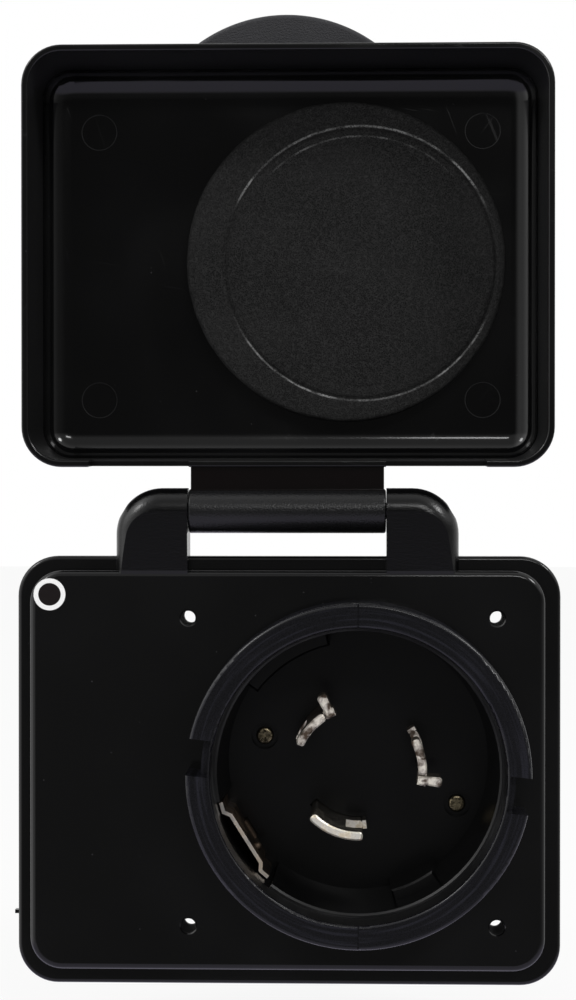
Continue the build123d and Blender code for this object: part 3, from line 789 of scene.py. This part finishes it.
@dataclass(frozen=True)
class PlatedMetal(Finish):
    """Plated or bare metal with drawing lines, dull patches and painted shade on the faces that don't face
    the front.

    Attributes:
        tone: Colour of the metal.
        dull_tone: Colour of its tarnished patches.
        painted_shade_tone: Painted shade: colour of the faces that don't face the front, darker for the dark
            room that they mirror.
        roughness: Roughness of the clean metal.
        line: Spacing of the drawing lines.
        patch: Size of a tarnished patch.
        depth: Y behind which all faces take the painted shade colour.
        bloom: Share of matt bloom on the clean metal of the front.
    """

    tone: Colour = (0.95, 0.90, 0.83)
    dull_tone: Colour = (0.66, 0.57, 0.47)
    painted_shade_tone: Colour = (0.40, 0.36, 0.31)
    roughness: float = 0.26
    line: float = 0.25 * MM
    patch: float = 4.5 * MM
    depth: float = 1.0
    bloom: float = 0.0

    def paint(self, canvas: Canvas) -> None:
        """Lay out the finish's nodes.

        Args:
            canvas: The material's sheet.
        """
        clouds = canvas.effect(CLOUDS, Scale=1 / self.patch)["Mask"]
        drawn = canvas.vector("MULTIPLY", canvas.place, (1.0, 0.06, 1.0))
        lines = canvas.noise(drawn, 1 / self.line, 2.0)[0]
        front = canvas.mix(clouds, self.tone, self.dull_tone)
        # Painted shade: faces turned away from the front, and all faces behind depth, take the darker
        # painted shade colour
        deep = canvas.math("GREATER_THAN", canvas.parts(canvas.place)[1], self.depth)
        aside = canvas.math("MAXIMUM", canvas.ramp(canvas.parts(canvas.normal)[1], -0.6, -0.3), deep)
        metallic = 1.0
        if self.bloom:
            bare = canvas.ramp(clouds, 0.0, 1.0, 1.0 - self.bloom, 1.0)
            metallic = canvas.math("MAXIMUM", bare, aside)
        worn = canvas.ramp(clouds, 0.0, 1.0, self.roughness, 2.2 * self.roughness)
        canvas.coat({
            "Base Color": canvas.mix(aside, front, self.painted_shade_tone),
            "Metallic": metallic,
            "Roughness": canvas.math("MULTIPLY_ADD", lines, 0.12, worn),
            "Normal": canvas.bump(lines, 0.5, 0.02 * MM),
        })


@dataclass(frozen=True)
class RingedLabel(Finish):
    """Printed label: a pale ring on black film.

    Attributes:
        centre: Middle of the label.
        ring_inner: Inner radius of the ring.
        ring_outer: Outer radius of the ring.
        bleed: Half width of the ink's soft edge.
        ink: Colour of the ring.
        film: Colour of the film.
        shine: Specular level.
    """

    centre: Point = (0.0, 0.0, 0.0)
    ring_inner: float = 2.8 * MM
    ring_outer: float = 3.95 * MM
    bleed: float = 0.05 * MM
    ink: Colour = (0.88, 0.88, 0.88)
    film: Colour = (0.0060, 0.0040, 0.0040)
    shine: float = 0.2

    def paint(self, canvas: Canvas) -> None:
        """Lay out the finish's nodes.

        Args:
            canvas: The material's sheet.
        """
        radius = canvas.from_axis(canvas.place, self.centre)[1]
        above = canvas.ramp(radius, self.ring_inner - self.bleed, self.ring_inner + self.bleed)
        below = canvas.ramp(radius, self.ring_outer + self.bleed, self.ring_outer - self.bleed)
        ring = canvas.math("MULTIPLY", above, below)
        paper = canvas.noise(canvas.place, 1 / (0.2 * MM), 3.0)[0]
        ink = canvas.mix(paper, self.ink, shaded(self.ink, 0.85))
        canvas.coat({
            "Base Color": canvas.mix(ring, self.film, ink),
            "Roughness": canvas.ramp(paper, 0.2, 0.8, 0.28, 0.42),
            "Specular IOR Level": self.shine,
            "Normal": canvas.bump(paper, 0.3, 0.01 * MM),
        })


def dress(node: str, finish: Finish) -> None:
    """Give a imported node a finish.

    Args:
        node: Name of the node.
        finish: The finish to give it.
    """
    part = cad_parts[node]
    part.data.materials.clear()
    part.data.materials.append(finish.material())
    LOG.info("dressed %s with %s", node, finish.name)


def new_piece(name: str, mesh: bmesh.types.BMesh, finish: Finish, body: Body) -> bpy.types.Object:
    """Turn a bmesh into a piece that rides on a body.

    Args:
        name: Name of the piece.
        mesh: The finished bmesh, which is freed.
        finish: The piece's finish.
        body: The body that carries it.

    Returns:
        The piece's object.
    """
    data = bpy.data.meshes.new(name)
    mesh.to_mesh(data)
    mesh.free()
    data.materials.append(finish.material())
    piece = bpy.data.objects.new(name, data)
    bpy.context.scene.collection.objects.link(piece)
    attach(piece, body.value)
    LOG.info("built %s on %s", name, body.value)
    return piece


@dataclass
class Housing:
    """The moulded plate with its collar, cup and hinge posts, its gasket and its label.

    Attributes:
        middle: X of the hinge's middle.
        cup_axis: Point on the cup's axis at the plate's face.
        collar_outer: Outer radius of the collar.
        collar_inner: Radius of the collar's mouth.
        post_inner: Distance of a post's inner side from the middle.
        post_outer: Distance of a post's outer side from the middle.
        post_foot: Height at which a post's grain ends.
        lip_level: Y just behind the collar's front.
        ledge_level: Y just behind the ledge in the cup's mouth.
        ledge_inner: Radius inside the ledge.
        ledge_outer: Radius outside the mouth's wall.
        hole_spacing: Distance between neighbouring screw holes.
        hole_radius: Radius round a screw hole that takes in its wall.
        label_centre: Middle of the label on the plate.
        label_radius: Radius of the label.
        label_thickness: Thickness of the label.
        label_sides: Number of faces round the label.
    """

    middle: float = -13.7 * MM
    cup_axis: Point = (3.9 * MM, -10.1 * MM, 0.8 * MM)
    collar_outer: float = 41.9 * MM
    collar_inner: float = 34.4 * MM
    post_inner: float = 24.5 * MM
    post_outer: float = 42.8 * MM
    post_foot: float = 49.9 * MM
    lip_level: float = -24.2 * MM
    ledge_level: float = -15.5 * MM
    ledge_inner: float = 34.2 * MM
    ledge_outer: float = 36.1 * MM
    hole_spacing: float = 76.2 * MM
    hole_radius: float = 1.9 * MM
    label_centre: Point = (-72.5 * MM, -10.0 * MM, 43.9 * MM)
    label_radius: float = 4.05 * MM
    label_thickness: float = 0.12 * MM
    label_sides: int = 64

    def post_zone(self, side: int) -> Zone:
        """Box round one hinge post.

        Args:
            side: -1 for the left post, 1 for the right one.

        Returns:
            The zone that is grained.
        """
        ends = sorted((self.middle + side * self.post_inner, self.middle + side * self.post_outer))
        return Zone((ends[0], -FAR, self.post_foot), (ends[1], FAR, FAR))

    def label(self) -> bpy.types.Object:
        """Build the round label.

        Returns:
            The label's object.
        """
        mesh = bmesh.new()
        bmesh.ops.create_circle(mesh, cap_ends=True, segments=self.label_sides, radius=self.label_radius)
        faces = bmesh.ops.extrude_face_region(mesh, geom=list(mesh.faces))["geom"]
        raised = [item for item in faces if isinstance(item, bmesh.types.BMVert)]
        bmesh.ops.translate(mesh, verts=raised, vec=(0, 0, self.label_thickness))
        bmesh.ops.recalc_face_normals(mesh, faces=list(mesh.faces))
        upright = Matrix.Translation(self.label_centre) @ Matrix.Rotation(math.radians(90), 4, "X")
        bmesh.ops.transform(mesh, verts=list(mesh.verts), matrix=upright)
        finish = RingedLabel("ringed_label", centre=self.label_centre)
        return new_piece("plate_label", mesh, finish, Body.INLET)

    def build(self) -> None:
        """Dress the housing's nodes and build the label."""
        x, _, z = self.cup_axis
        half = self.hole_spacing / 2
        posts = (self.post_zone(-1), self.post_zone(1))
        collar = RingZone(self.cup_axis, self.collar_inner, self.collar_outer)
        mouth = RingZone((x, self.lip_level, z), self.ledge_inner, self.ledge_outer, Side.BEHIND)
        well = RingZone((x, self.ledge_level, z), WHOLE, self.ledge_outer, Side.BEHIND)
        corners = [(across, FAR, up) for across in (-half, half) for up in (-half, half)]
        holes = tuple(RingZone(corner, WHOLE, self.hole_radius) for corner in corners)
        patches = (
            Patch(posts, tone=(0.0003, 0.0003, 0.0005), roughness=0.21, relief=0.4),
            Patch((collar,), tone=(0.0026, 0.0026, 0.0037), roughness=0.24, relief=0.0, axis=self.cup_axis),
            # Painted highlight: the mouth's wall and ledge are paler, for the light lines on the mouth's
            # edges
            Patch((mouth,), tone=(0.0052, 0.0052, 0.0054), roughness=0.28, relief=0.0, axis=self.cup_axis),
            # Painted shade: the cup's well is darker than the plate's face
            Patch((well,), tone=(0.0014, 0.0014, 0.0015), roughness=0.22, relief=0.05),
            # Painted shade: the walls of the screw holes are nearly black
            Patch(holes, tone=(0.0006, 0.0006, 0.0006), roughness=0.9, relief=0.0),
        )
        pin = {"tone": (0.36, 0.36, 0.37), "dull_tone": (0.2, 0.2, 0.21), "painted_shade_tone": (0.32, 0.32, 0.33)}
        dress("mounting_base", MouldedBlack("housing_black", patches=patches))
        dress("panel_gasket", GrainedPlastic("gasket_rubber", tone=(0.012, 0.012, 0.012), roughness=0.75))
        dress("hinge_pin", PlatedMetal("pin_steel", **pin))
        self.label()


@dataclass
class Contacts:
    """The blades, the ground clip and the screws in the cup, with the carrier and terminals behind them.

    Attributes:
        nickel: Finish of the line blades.
        tin: Finish of the neutral blade.
        spring: Finish of the ground clip.
        brass: Finish of the terminals.
        screw_brass: Finish of the screws in the cup.
        zinc: Finish of the other screws.
    """

    nickel: Finish = PlatedMetal(
        "nickel_plate_finish",
        tone=(0.97, 0.91, 0.81),
        dull_tone=(0.08, 0.058, 0.042),
        painted_shade_tone=(0.20, 0.17, 0.14),
        patch=2.3 * MM,
        bloom=0.45,
    )
    tin: Finish = PlatedMetal(
        "tin_plate_finish",
        tone=(0.97, 0.94, 0.84),
        dull_tone=(0.62, 0.55, 0.42),
        painted_shade_tone=(0.11, 0.10, 0.085),
        patch=2.2 * MM,
        bloom=0.2,
    )
    # Painted shade: all of the clip's faces behind Y = -5 mm, deep in the cup, take its dark painted shade
    # colour
    spring: Finish = PlatedMetal("spring_strip_finish", painted_shade_tone=(0.085, 0.062, 0.045), depth=-5.0 * MM)
    brass: Finish = PlatedMetal(
        "terminal_brass_finish",
        tone=(0.62, 0.47, 0.24),
        dull_tone=(0.36, 0.25, 0.12),
        painted_shade_tone=(0.55, 0.42, 0.21),
    )
    screw_brass: Finish = PlatedMetal(
        "screw_brass_finish",
        tone=(0.26, 0.22, 0.14),
        dull_tone=(0.012, 0.010, 0.007),
        painted_shade_tone=(0.05, 0.04, 0.03),
        roughness=0.24,
        patch=1.1 * MM,
    )
    zinc: Finish = PlatedMetal(
        "zinc_finish", tone=(0.58, 0.58, 0.60), dull_tone=(0.36, 0.36, 0.37), painted_shade_tone=(0.52, 0.52, 0.54)
    )

    def build(self) -> None:
        """Dress the contacts' nodes."""
        for node in ("line_blade_1", "line_blade_2"):
            dress(node, self.nickel)
        dress("neutral_blade", self.tin)
        dress("ground_clip", self.spring)
        for node in ("line_terminal_1", "line_terminal_2", "neutral_terminal", "ground_terminal"):
            dress(node, self.brass)
        dress("carrier_screws", self.screw_brass)
        dress("terminal_screws", self.zinc)
        dress("contact_carrier", GrainedPlastic("carrier_plastic_finish", tone=(0.02, 0.02, 0.02)))


@dataclass
class WiringCover:
    """The cover behind the panel with its screws and cable gland."""

    def build(self) -> None:
        """Dress the cover's nodes."""
        dress("rear_cover", GrainedPlastic("cover_plastic"))
        dress("gland_nut", GrainedPlastic("nut_plastic", tone=(0.010, 0.010, 0.0105), roughness=0.38))
        dress("gland_bush", GrainedPlastic("bush_rubber", tone=(0.014, 0.014, 0.014), roughness=0.8))
        dress("cover_screws", Contacts().zinc)


@dataclass
class SealPad:
    """The round foam pad stuck inside the lid, with the ring that the collar has pressed into it.

    Attributes:
        rings: Number of rings of faces across the pad's front.
        segments: Number of faces round the pad.
        edge_round: Radius of its front edge.
        imprint_offset: Middle of the pressed ring from the pad's middle, in X and Z.
        imprint_radii: Radii of the pressed rings.
        imprint_depths: Depths of the pressed rings.
        imprint_widths: Half widths of the pressed rings.
        lumpiness: Height of the foam's broad unevenness.
        lump_scale: Frequency of that unevenness in a metre.
        side_depth: Depth of the unevenness of its side.
        side_scale: Frequency of that unevenness in a metre.
        low: Lowest corner of the plain disc's box.
        high: Highest corner of that box.
    """

    rings: int = 110
    segments: int = 400
    edge_round: float = 0.9 * MM
    imprint_offset: tuple[float, float] = (3.65 * MM, -0.45 * MM)
    imprint_radii: tuple[float, ...] = (34.8 * MM, 31.6 * MM)
    imprint_depths: tuple[float, ...] = (0.6 * MM, 0.1 * MM)
    imprint_widths: tuple[float, ...] = (0.4 * MM, 0.5 * MM)
    lumpiness: float = 0.10 * MM
    lump_scale: float = 90.0
    side_depth: float = 0.12 * MM
    side_scale: float = 260.0
    low: Vector = field(default_factory=lambda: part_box("seal_pad")[0])
    high: Vector = field(default_factory=lambda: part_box("seal_pad")[1])

    def pressed(self, x: float, z: float) -> float:
        """Depth of the pressed rings at a place on the pad's front.

        Args:
            x: X from the pad's middle.
            z: Z from the pad's middle.

        Returns:
            The depth.
        """
        away = math.hypot(x - self.imprint_offset[0], z - self.imprint_offset[1])
        rows = zip(self.imprint_radii, self.imprint_depths, self.imprint_widths)
        return sum(depth * math.exp(-(((away - radius) / width) ** 2)) for radius, depth, width in rows)

    def build(self) -> bpy.types.Object:
        """Build the pad and let it stand for its plain node.

        Returns:
            The pad's object.
        """
        centre = (self.low + self.high) / 2
        radius = (self.high.x - self.low.x) / 2
        thickness = self.high.y - self.low.y
        mesh = bmesh.new()
        flat = radius - self.edge_round
        outline = [(flat * step / self.rings, 0.0) for step in range(self.rings + 1)]
        for turn in (18, 36, 54, 72, 90):
            angle = math.radians(turn)
            depth = self.edge_round * (1 - math.cos(angle))
            outline.append((flat + self.edge_round * math.sin(angle), depth))
        outline += [(radius, thickness * share) for share in (0.3, 0.5, 0.75, 1.0)]
        outline += [(flat * share, thickness) for share in (1.0, 0.6, 0.3, 0.0)]
        verts = [mesh.verts.new((away, depth, 0.0)) for away, depth in outline]
        edges = [mesh.edges.new(pair) for pair in zip(verts, verts[1:])]
        spin = {"cent": (0, 0, 0), "axis": (0, 1, 0), "angle": math.tau, "steps": self.segments}
        bmesh.ops.spin(mesh, geom=verts + edges, use_merge=True, **spin)
        bmesh.ops.remove_doubles(mesh, verts=list(mesh.verts), dist=1e-7)
        bmesh.ops.recalc_face_normals(mesh, faces=list(mesh.faces))
        for vert in mesh.verts:
            x, y, z = vert.co
            share = 1 - min(1.0, y / thickness)
            broad = [self.lump_scale * part for part in (x, y, z)]
            fine = [self.side_scale * part for part in (x, y, z)]
            lump = self.lumpiness * (1 + noise.fractal(broad, 1.0, 2.0, 3))
            side = self.side_depth * (1 + noise.noise(fine)) if y > 0 else 0.0
            swell = 1 - side / radius
            vert.co = (x * swell, y + share * (lump + self.pressed(x, z)), z * swell)
        bmesh.ops.translate(mesh, verts=list(mesh.verts), vec=(centre.x, self.low.y, centre.z))
        for face in mesh.faces:
            face.smooth = True
        ring = (centre.x + self.imprint_offset[0], self.low.y, centre.z + self.imprint_offset[1])
        # The foam's painted highlight runs along the outer edge of the pressed ring
        highlight_radius = self.imprint_radii[0] + self.imprint_widths[0]
        foam = CellFoam("grey_cell_foam", ring_centre=ring, ring_highlight_radius=highlight_radius)
        pad = new_piece("foam_seal_pad", mesh, foam, Body.LID)
        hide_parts("seal_pad")
        pad.visible_glossy = False
        return pad


@dataclass
class Lid:
    """The tray-shaped lid with its tab, hinge barrel and pad.

    Attributes:
        middle: X of the lid's middle.
        half_width: Distance from the middle beyond which only the outside of the side walls lies.
        barrel_top: Height of the hinge barrel's top.
        near_edge: Height of the tray's edge above the hinge.
        near_outside: Height below which only the outside of the near wall lies.
        far_outside: Height above which only the outside of the far wall lies.
        far_edge: Height of the tray's free edge.
        rim_level: Level just behind the rim's front.
        fillet_level: Level at which the round between the walls and the floor begins.
        mark_middle: Height of the middle between the ejector marks.
        mark_x: Distance of an ejector mark from the middle in X.
        mark_z: Distance of an ejector mark from their middle in Z.
        mark_radius: Radius of an ejector mark.
        mark_line: Width of the pale line at its edge.
    """

    middle: float = -13.7 * MM
    half_width: float = 64.7 * MM
    barrel_top: float = 69.6 * MM
    near_edge: float = 75.35 * MM
    near_outside: float = 76.9 * MM
    far_outside: float = 178.9 * MM
    far_edge: float = 180.45 * MM
    rim_level: float = -7.0 * MM
    fillet_level: float = 14.5 * MM
    mark_middle: float = 127.9 * MM
    mark_x: float = 49.9 * MM
    mark_z: float = 34.9 * MM
    mark_radius: float = 4.65 * MM
    mark_line: float = 0.2 * MM

    def build(self) -> None:
        """Dress the lid and build its pad."""
        inside = Zone(
            (self.middle - self.half_width, self.rim_level, self.near_outside),
            (self.middle + self.half_width, self.fillet_level, self.far_outside),
        )
        places = [
            (self.middle + side * self.mark_x, self.fillet_level, self.mark_middle + end * self.mark_z)
            for side in (-1, 1)
            for end in (-1, 1)
        ]
        mark_inner = self.mark_radius - self.mark_line
        marks = tuple(RingZone(place, mark_inner, self.mark_radius, Side.BEHIND) for place in places)
        outside = OuterZone(
            (-FAR, self.rim_level, self.near_edge),
            (FAR, FAR, self.far_edge),
            (self.middle, 0.0, self.mark_middle),
        )
        barrel = Zone((-FAR, -FAR, 0.0), (FAR, FAR, self.barrel_top))
        leaf = Zone((-FAR, -FAR, self.barrel_top), (FAR, FAR, self.near_edge))
        tab = Zone((-FAR, -FAR, self.far_edge), (FAR, FAR, FAR))
        patches = (
            # Painted reflection: the inner walls are paler than the polish, for the grey that they mirror
            Patch((inside,), tone=(0.0065, 0.0065, 0.0067), roughness=0.30, relief=0.0),
            Patch(marks, tone=(0.0095, 0.0095, 0.0097), roughness=0.4, relief=0.0),
            Patch((outside,), tone=(0.0074, 0.0074, 0.0077), roughness=0.44, relief=1.8),
            Patch((barrel,), tone=(0.0042, 0.0042, 0.0046), roughness=0.26, relief=0.8),
            Patch((leaf,), tone=(0.0021, 0.0012, 0.0012), roughness=0.14, relief=0.1),
            Patch((tab,), tone=(0.0192, 0.0192, 0.0218), roughness=0.45, relief=1.8),
        )
        dress("lid", MouldedBlack("lid_black", patches=patches))
        SealPad().build()


@dataclass(frozen=True)
class SoftBox:
    """A rectangular studio lamp.

    Attributes:
        name: Name of the lamp.
        place: Where it stands.
        width: Its width.
        height: Its height.
        power: Its power in watts.
        aim: The point that it faces.
    """

    name: str
    place: Point
    width: float
    height: float
    power: float
    aim: Point = (0.0, 0.0, 0.07)

    def build(self) -> None:
        """Set up the lamp."""
        lamp = bpy.data.lights.new(self.name, "AREA")
        lamp.shape = "RECTANGLE"
        lamp.size = self.width
        lamp.size_y = self.height
        lamp.energy = self.power
        stand = bpy.data.objects.new(self.name, lamp)
        stand.location = self.place
        stand.rotation_euler = (Vector(self.aim) - Vector(self.place)).to_track_quat("-Z", "Y").to_euler()
        bpy.context.scene.collection.objects.link(stand)
        LOG.info("set up %s", self.name)


@dataclass
class Studio:
    """Floor, white background, lamps and camera.

    Attributes:
        camera_place: Where the camera stands.
        camera_aim: The point in the middle of the picture.
        lens: Focal length in millimetres on a sensor of a given height.
        sensor: Height of the sensor in millimetres.
        floor_size: Side of the square floor.
        floor_level: Height of the floor, just below the tab of the closed lid.
        floor_tone: Colour of the floor.
        floor_glow: Share of plain white in what the camera sees of the floor.
        world_strength: Strength of the world's own light on matt faces.
        front_level: What polished faces see in front of the part.
        dusk_level: What they see there just above the camera.
        above_level: What they see above it.
        left_level: What the left side adds.
        right_level: What the right side adds.
        side_gain: How much brighter it is there to the sides than in front.
        below_level: What they see below it.
        below_tone: Colour of what they see below it.
        back_level: What they see behind it.
        lamps: The lamps.
    """

    camera_place: Point = (3.6 * MM, -570.0 * MM, 72.2 * MM)
    camera_aim: Point = (-13.42 * MM, -10.0 * MM, 67.27 * MM)
    lens: float = 54.5
    sensor: float = 24.0
    floor_size: float = 6.0
    floor_level: float = -64.2 * MM
    floor_tone: Colour = (0.82, 0.82, 0.82)
    floor_glow: float = 0.9
    world_strength: float = 0.58
    front_level: float = 0.20
    dusk_level: float = 0.11
    above_level: float = 0.75
    left_level: float = 1.05
    right_level: float = 0.15
    side_gain: float = 1.9
    below_level: float = 0.95
    below_tone: Colour = (1.0, 0.96, 1.18)
    back_level: float = 1.0
    lamps: tuple[SoftBox, ...] = (
        SoftBox("left_key", (-0.85, -0.55, 0.85), 0.24, 0.24, 4.0),
        SoftBox("right_key", (0.85, -0.55, 0.85), 0.24, 0.24, 6.0),
        SoftBox("front_strip", (0.22, -1.10, 0.57), 0.36, 0.08, 2.6),
    )

    def world(self) -> None:
        """Set up the world: white to the camera, and a dim room with paler sides to polished faces."""
        world = bpy.data.worlds.new("studio_world")
        bpy.context.scene.world = world
        world.use_nodes = True
        sheet = NodeSheet(world.node_tree)
        paths = sheet.add("ShaderNodeLightPath").outputs
        glossy = paths[RayKind.GLOSSY.value]
        across, along, up = sheet.parts(sheet.add("ShaderNodeTexCoord").outputs["Generated"])
        # The bounds are parts of the unit vector towards what a face sees
        level = sheet.ramp(up, -0.10, 0.06, self.front_level, self.dusk_level)
        level = sheet.ramp(up, 0.19, 0.36, level, self.above_level)
        level = sheet.math("ADD", level, sheet.ramp(across, -0.22, -0.6, 0.0, self.left_level))
        level = sheet.math("ADD", level, sheet.ramp(across, 0.3, 0.8, 0.0, self.right_level))
        level = sheet.math("MULTIPLY", level, sheet.ramp(along, -0.65, -0.25, 1.0, self.side_gain))
        below = sheet.ramp(up, -0.20, -0.5)
        level = sheet.ramp(below, 0.0, 1.0, level, self.below_level)
        level = sheet.ramp(along, -0.05, 0.25, level, self.back_level)
        extra = sheet.math("SUBTRACT", level, self.world_strength)
        level = sheet.math("MULTIPLY_ADD", glossy, extra, self.world_strength)
        white = sheet.math("MAXIMUM", paths[RayKind.CAMERA.value], paths[RayKind.TRANSMISSION.value])
        tone = sheet.mix(sheet.math("MULTIPLY", below, glossy), WHITE, self.below_tone)
        strength = sheet.math("MAXIMUM", level, white)
        glow = sheet.add("ShaderNodeBackground", {"Color": tone, "Strength": strength})
        sheet.add("ShaderNodeOutputWorld", {"Surface": glow.outputs[0]})

    def floor(self) -> None:
        """Build the pale floor below the part at every pose, which polished faces don't mirror."""
        mesh = bmesh.new()
        bmesh.ops.create_grid(mesh, x_segments=2, y_segments=2, size=self.floor_size / 2)
        data = bpy.data.meshes.new("studio_floor")
        mesh.to_mesh(data)
        mesh.free()
        material = bpy.data.materials.new("floor_pale")
        material.use_nodes = True
        sheet = NodeSheet(material.node_tree)
        matt = sheet.add("ShaderNodeBsdfDiffuse", {"Color": self.floor_tone})
        paths = sheet.add("ShaderNodeLightPath").outputs
        glow = sheet.add("ShaderNodeEmission", {"Color": WHITE})
        share = sheet.math("MAXIMUM", paths[RayKind.CAMERA.value], paths[RayKind.TRANSMISSION.value])
        share = sheet.math("MULTIPLY", share, self.floor_glow)
        both = sheet.add("ShaderNodeMixShader", {0: share, 1: matt.outputs[0], 2: glow.outputs[0]})
        sheet.add("ShaderNodeOutputMaterial", {"Surface": both.outputs[0]})
        data.materials.append(material)
        floor = bpy.data.objects.new("studio_floor", data)
        floor.location.z = self.floor_level
        floor.visible_glossy = False
        bpy.context.scene.collection.objects.link(floor)

    def camera(self) -> None:
        """Set up the camera at the photograph's viewing angle."""
        data = bpy.data.cameras.new("photo_camera")
        data.sensor_fit = "VERTICAL"
        data.sensor_height = self.sensor
        data.lens = self.lens
        data.clip_start = 0.01
        camera = bpy.data.objects.new("photo_camera", data)
        camera.location = self.camera_place
        aim = Vector(self.camera_aim) - Vector(self.camera_place)
        camera.rotation_euler = aim.to_track_quat("-Z", "Y").to_euler()
        bpy.context.scene.collection.objects.link(camera)
        bpy.context.scene.camera = camera

    def build(self) -> None:
        """Set up the studio."""
        bpy.context.scene.view_settings.view_transform = "Standard"
        self.camera()
        self.world()
        self.floor()
        for lamp in self.lamps:
            lamp.build()


def main() -> None:
    """Build the studio and the sub-assemblies in order."""
    logging.basicConfig(level=logging.INFO, format="%(name)s: %(message)s")
    for assembly in (Studio(), Housing(), Contacts(), WiringCover(), Lid()):
        assembly.build()
        LOG.info("finished %s", type(assembly).__name__)


if __name__ == "__main__":
    main()
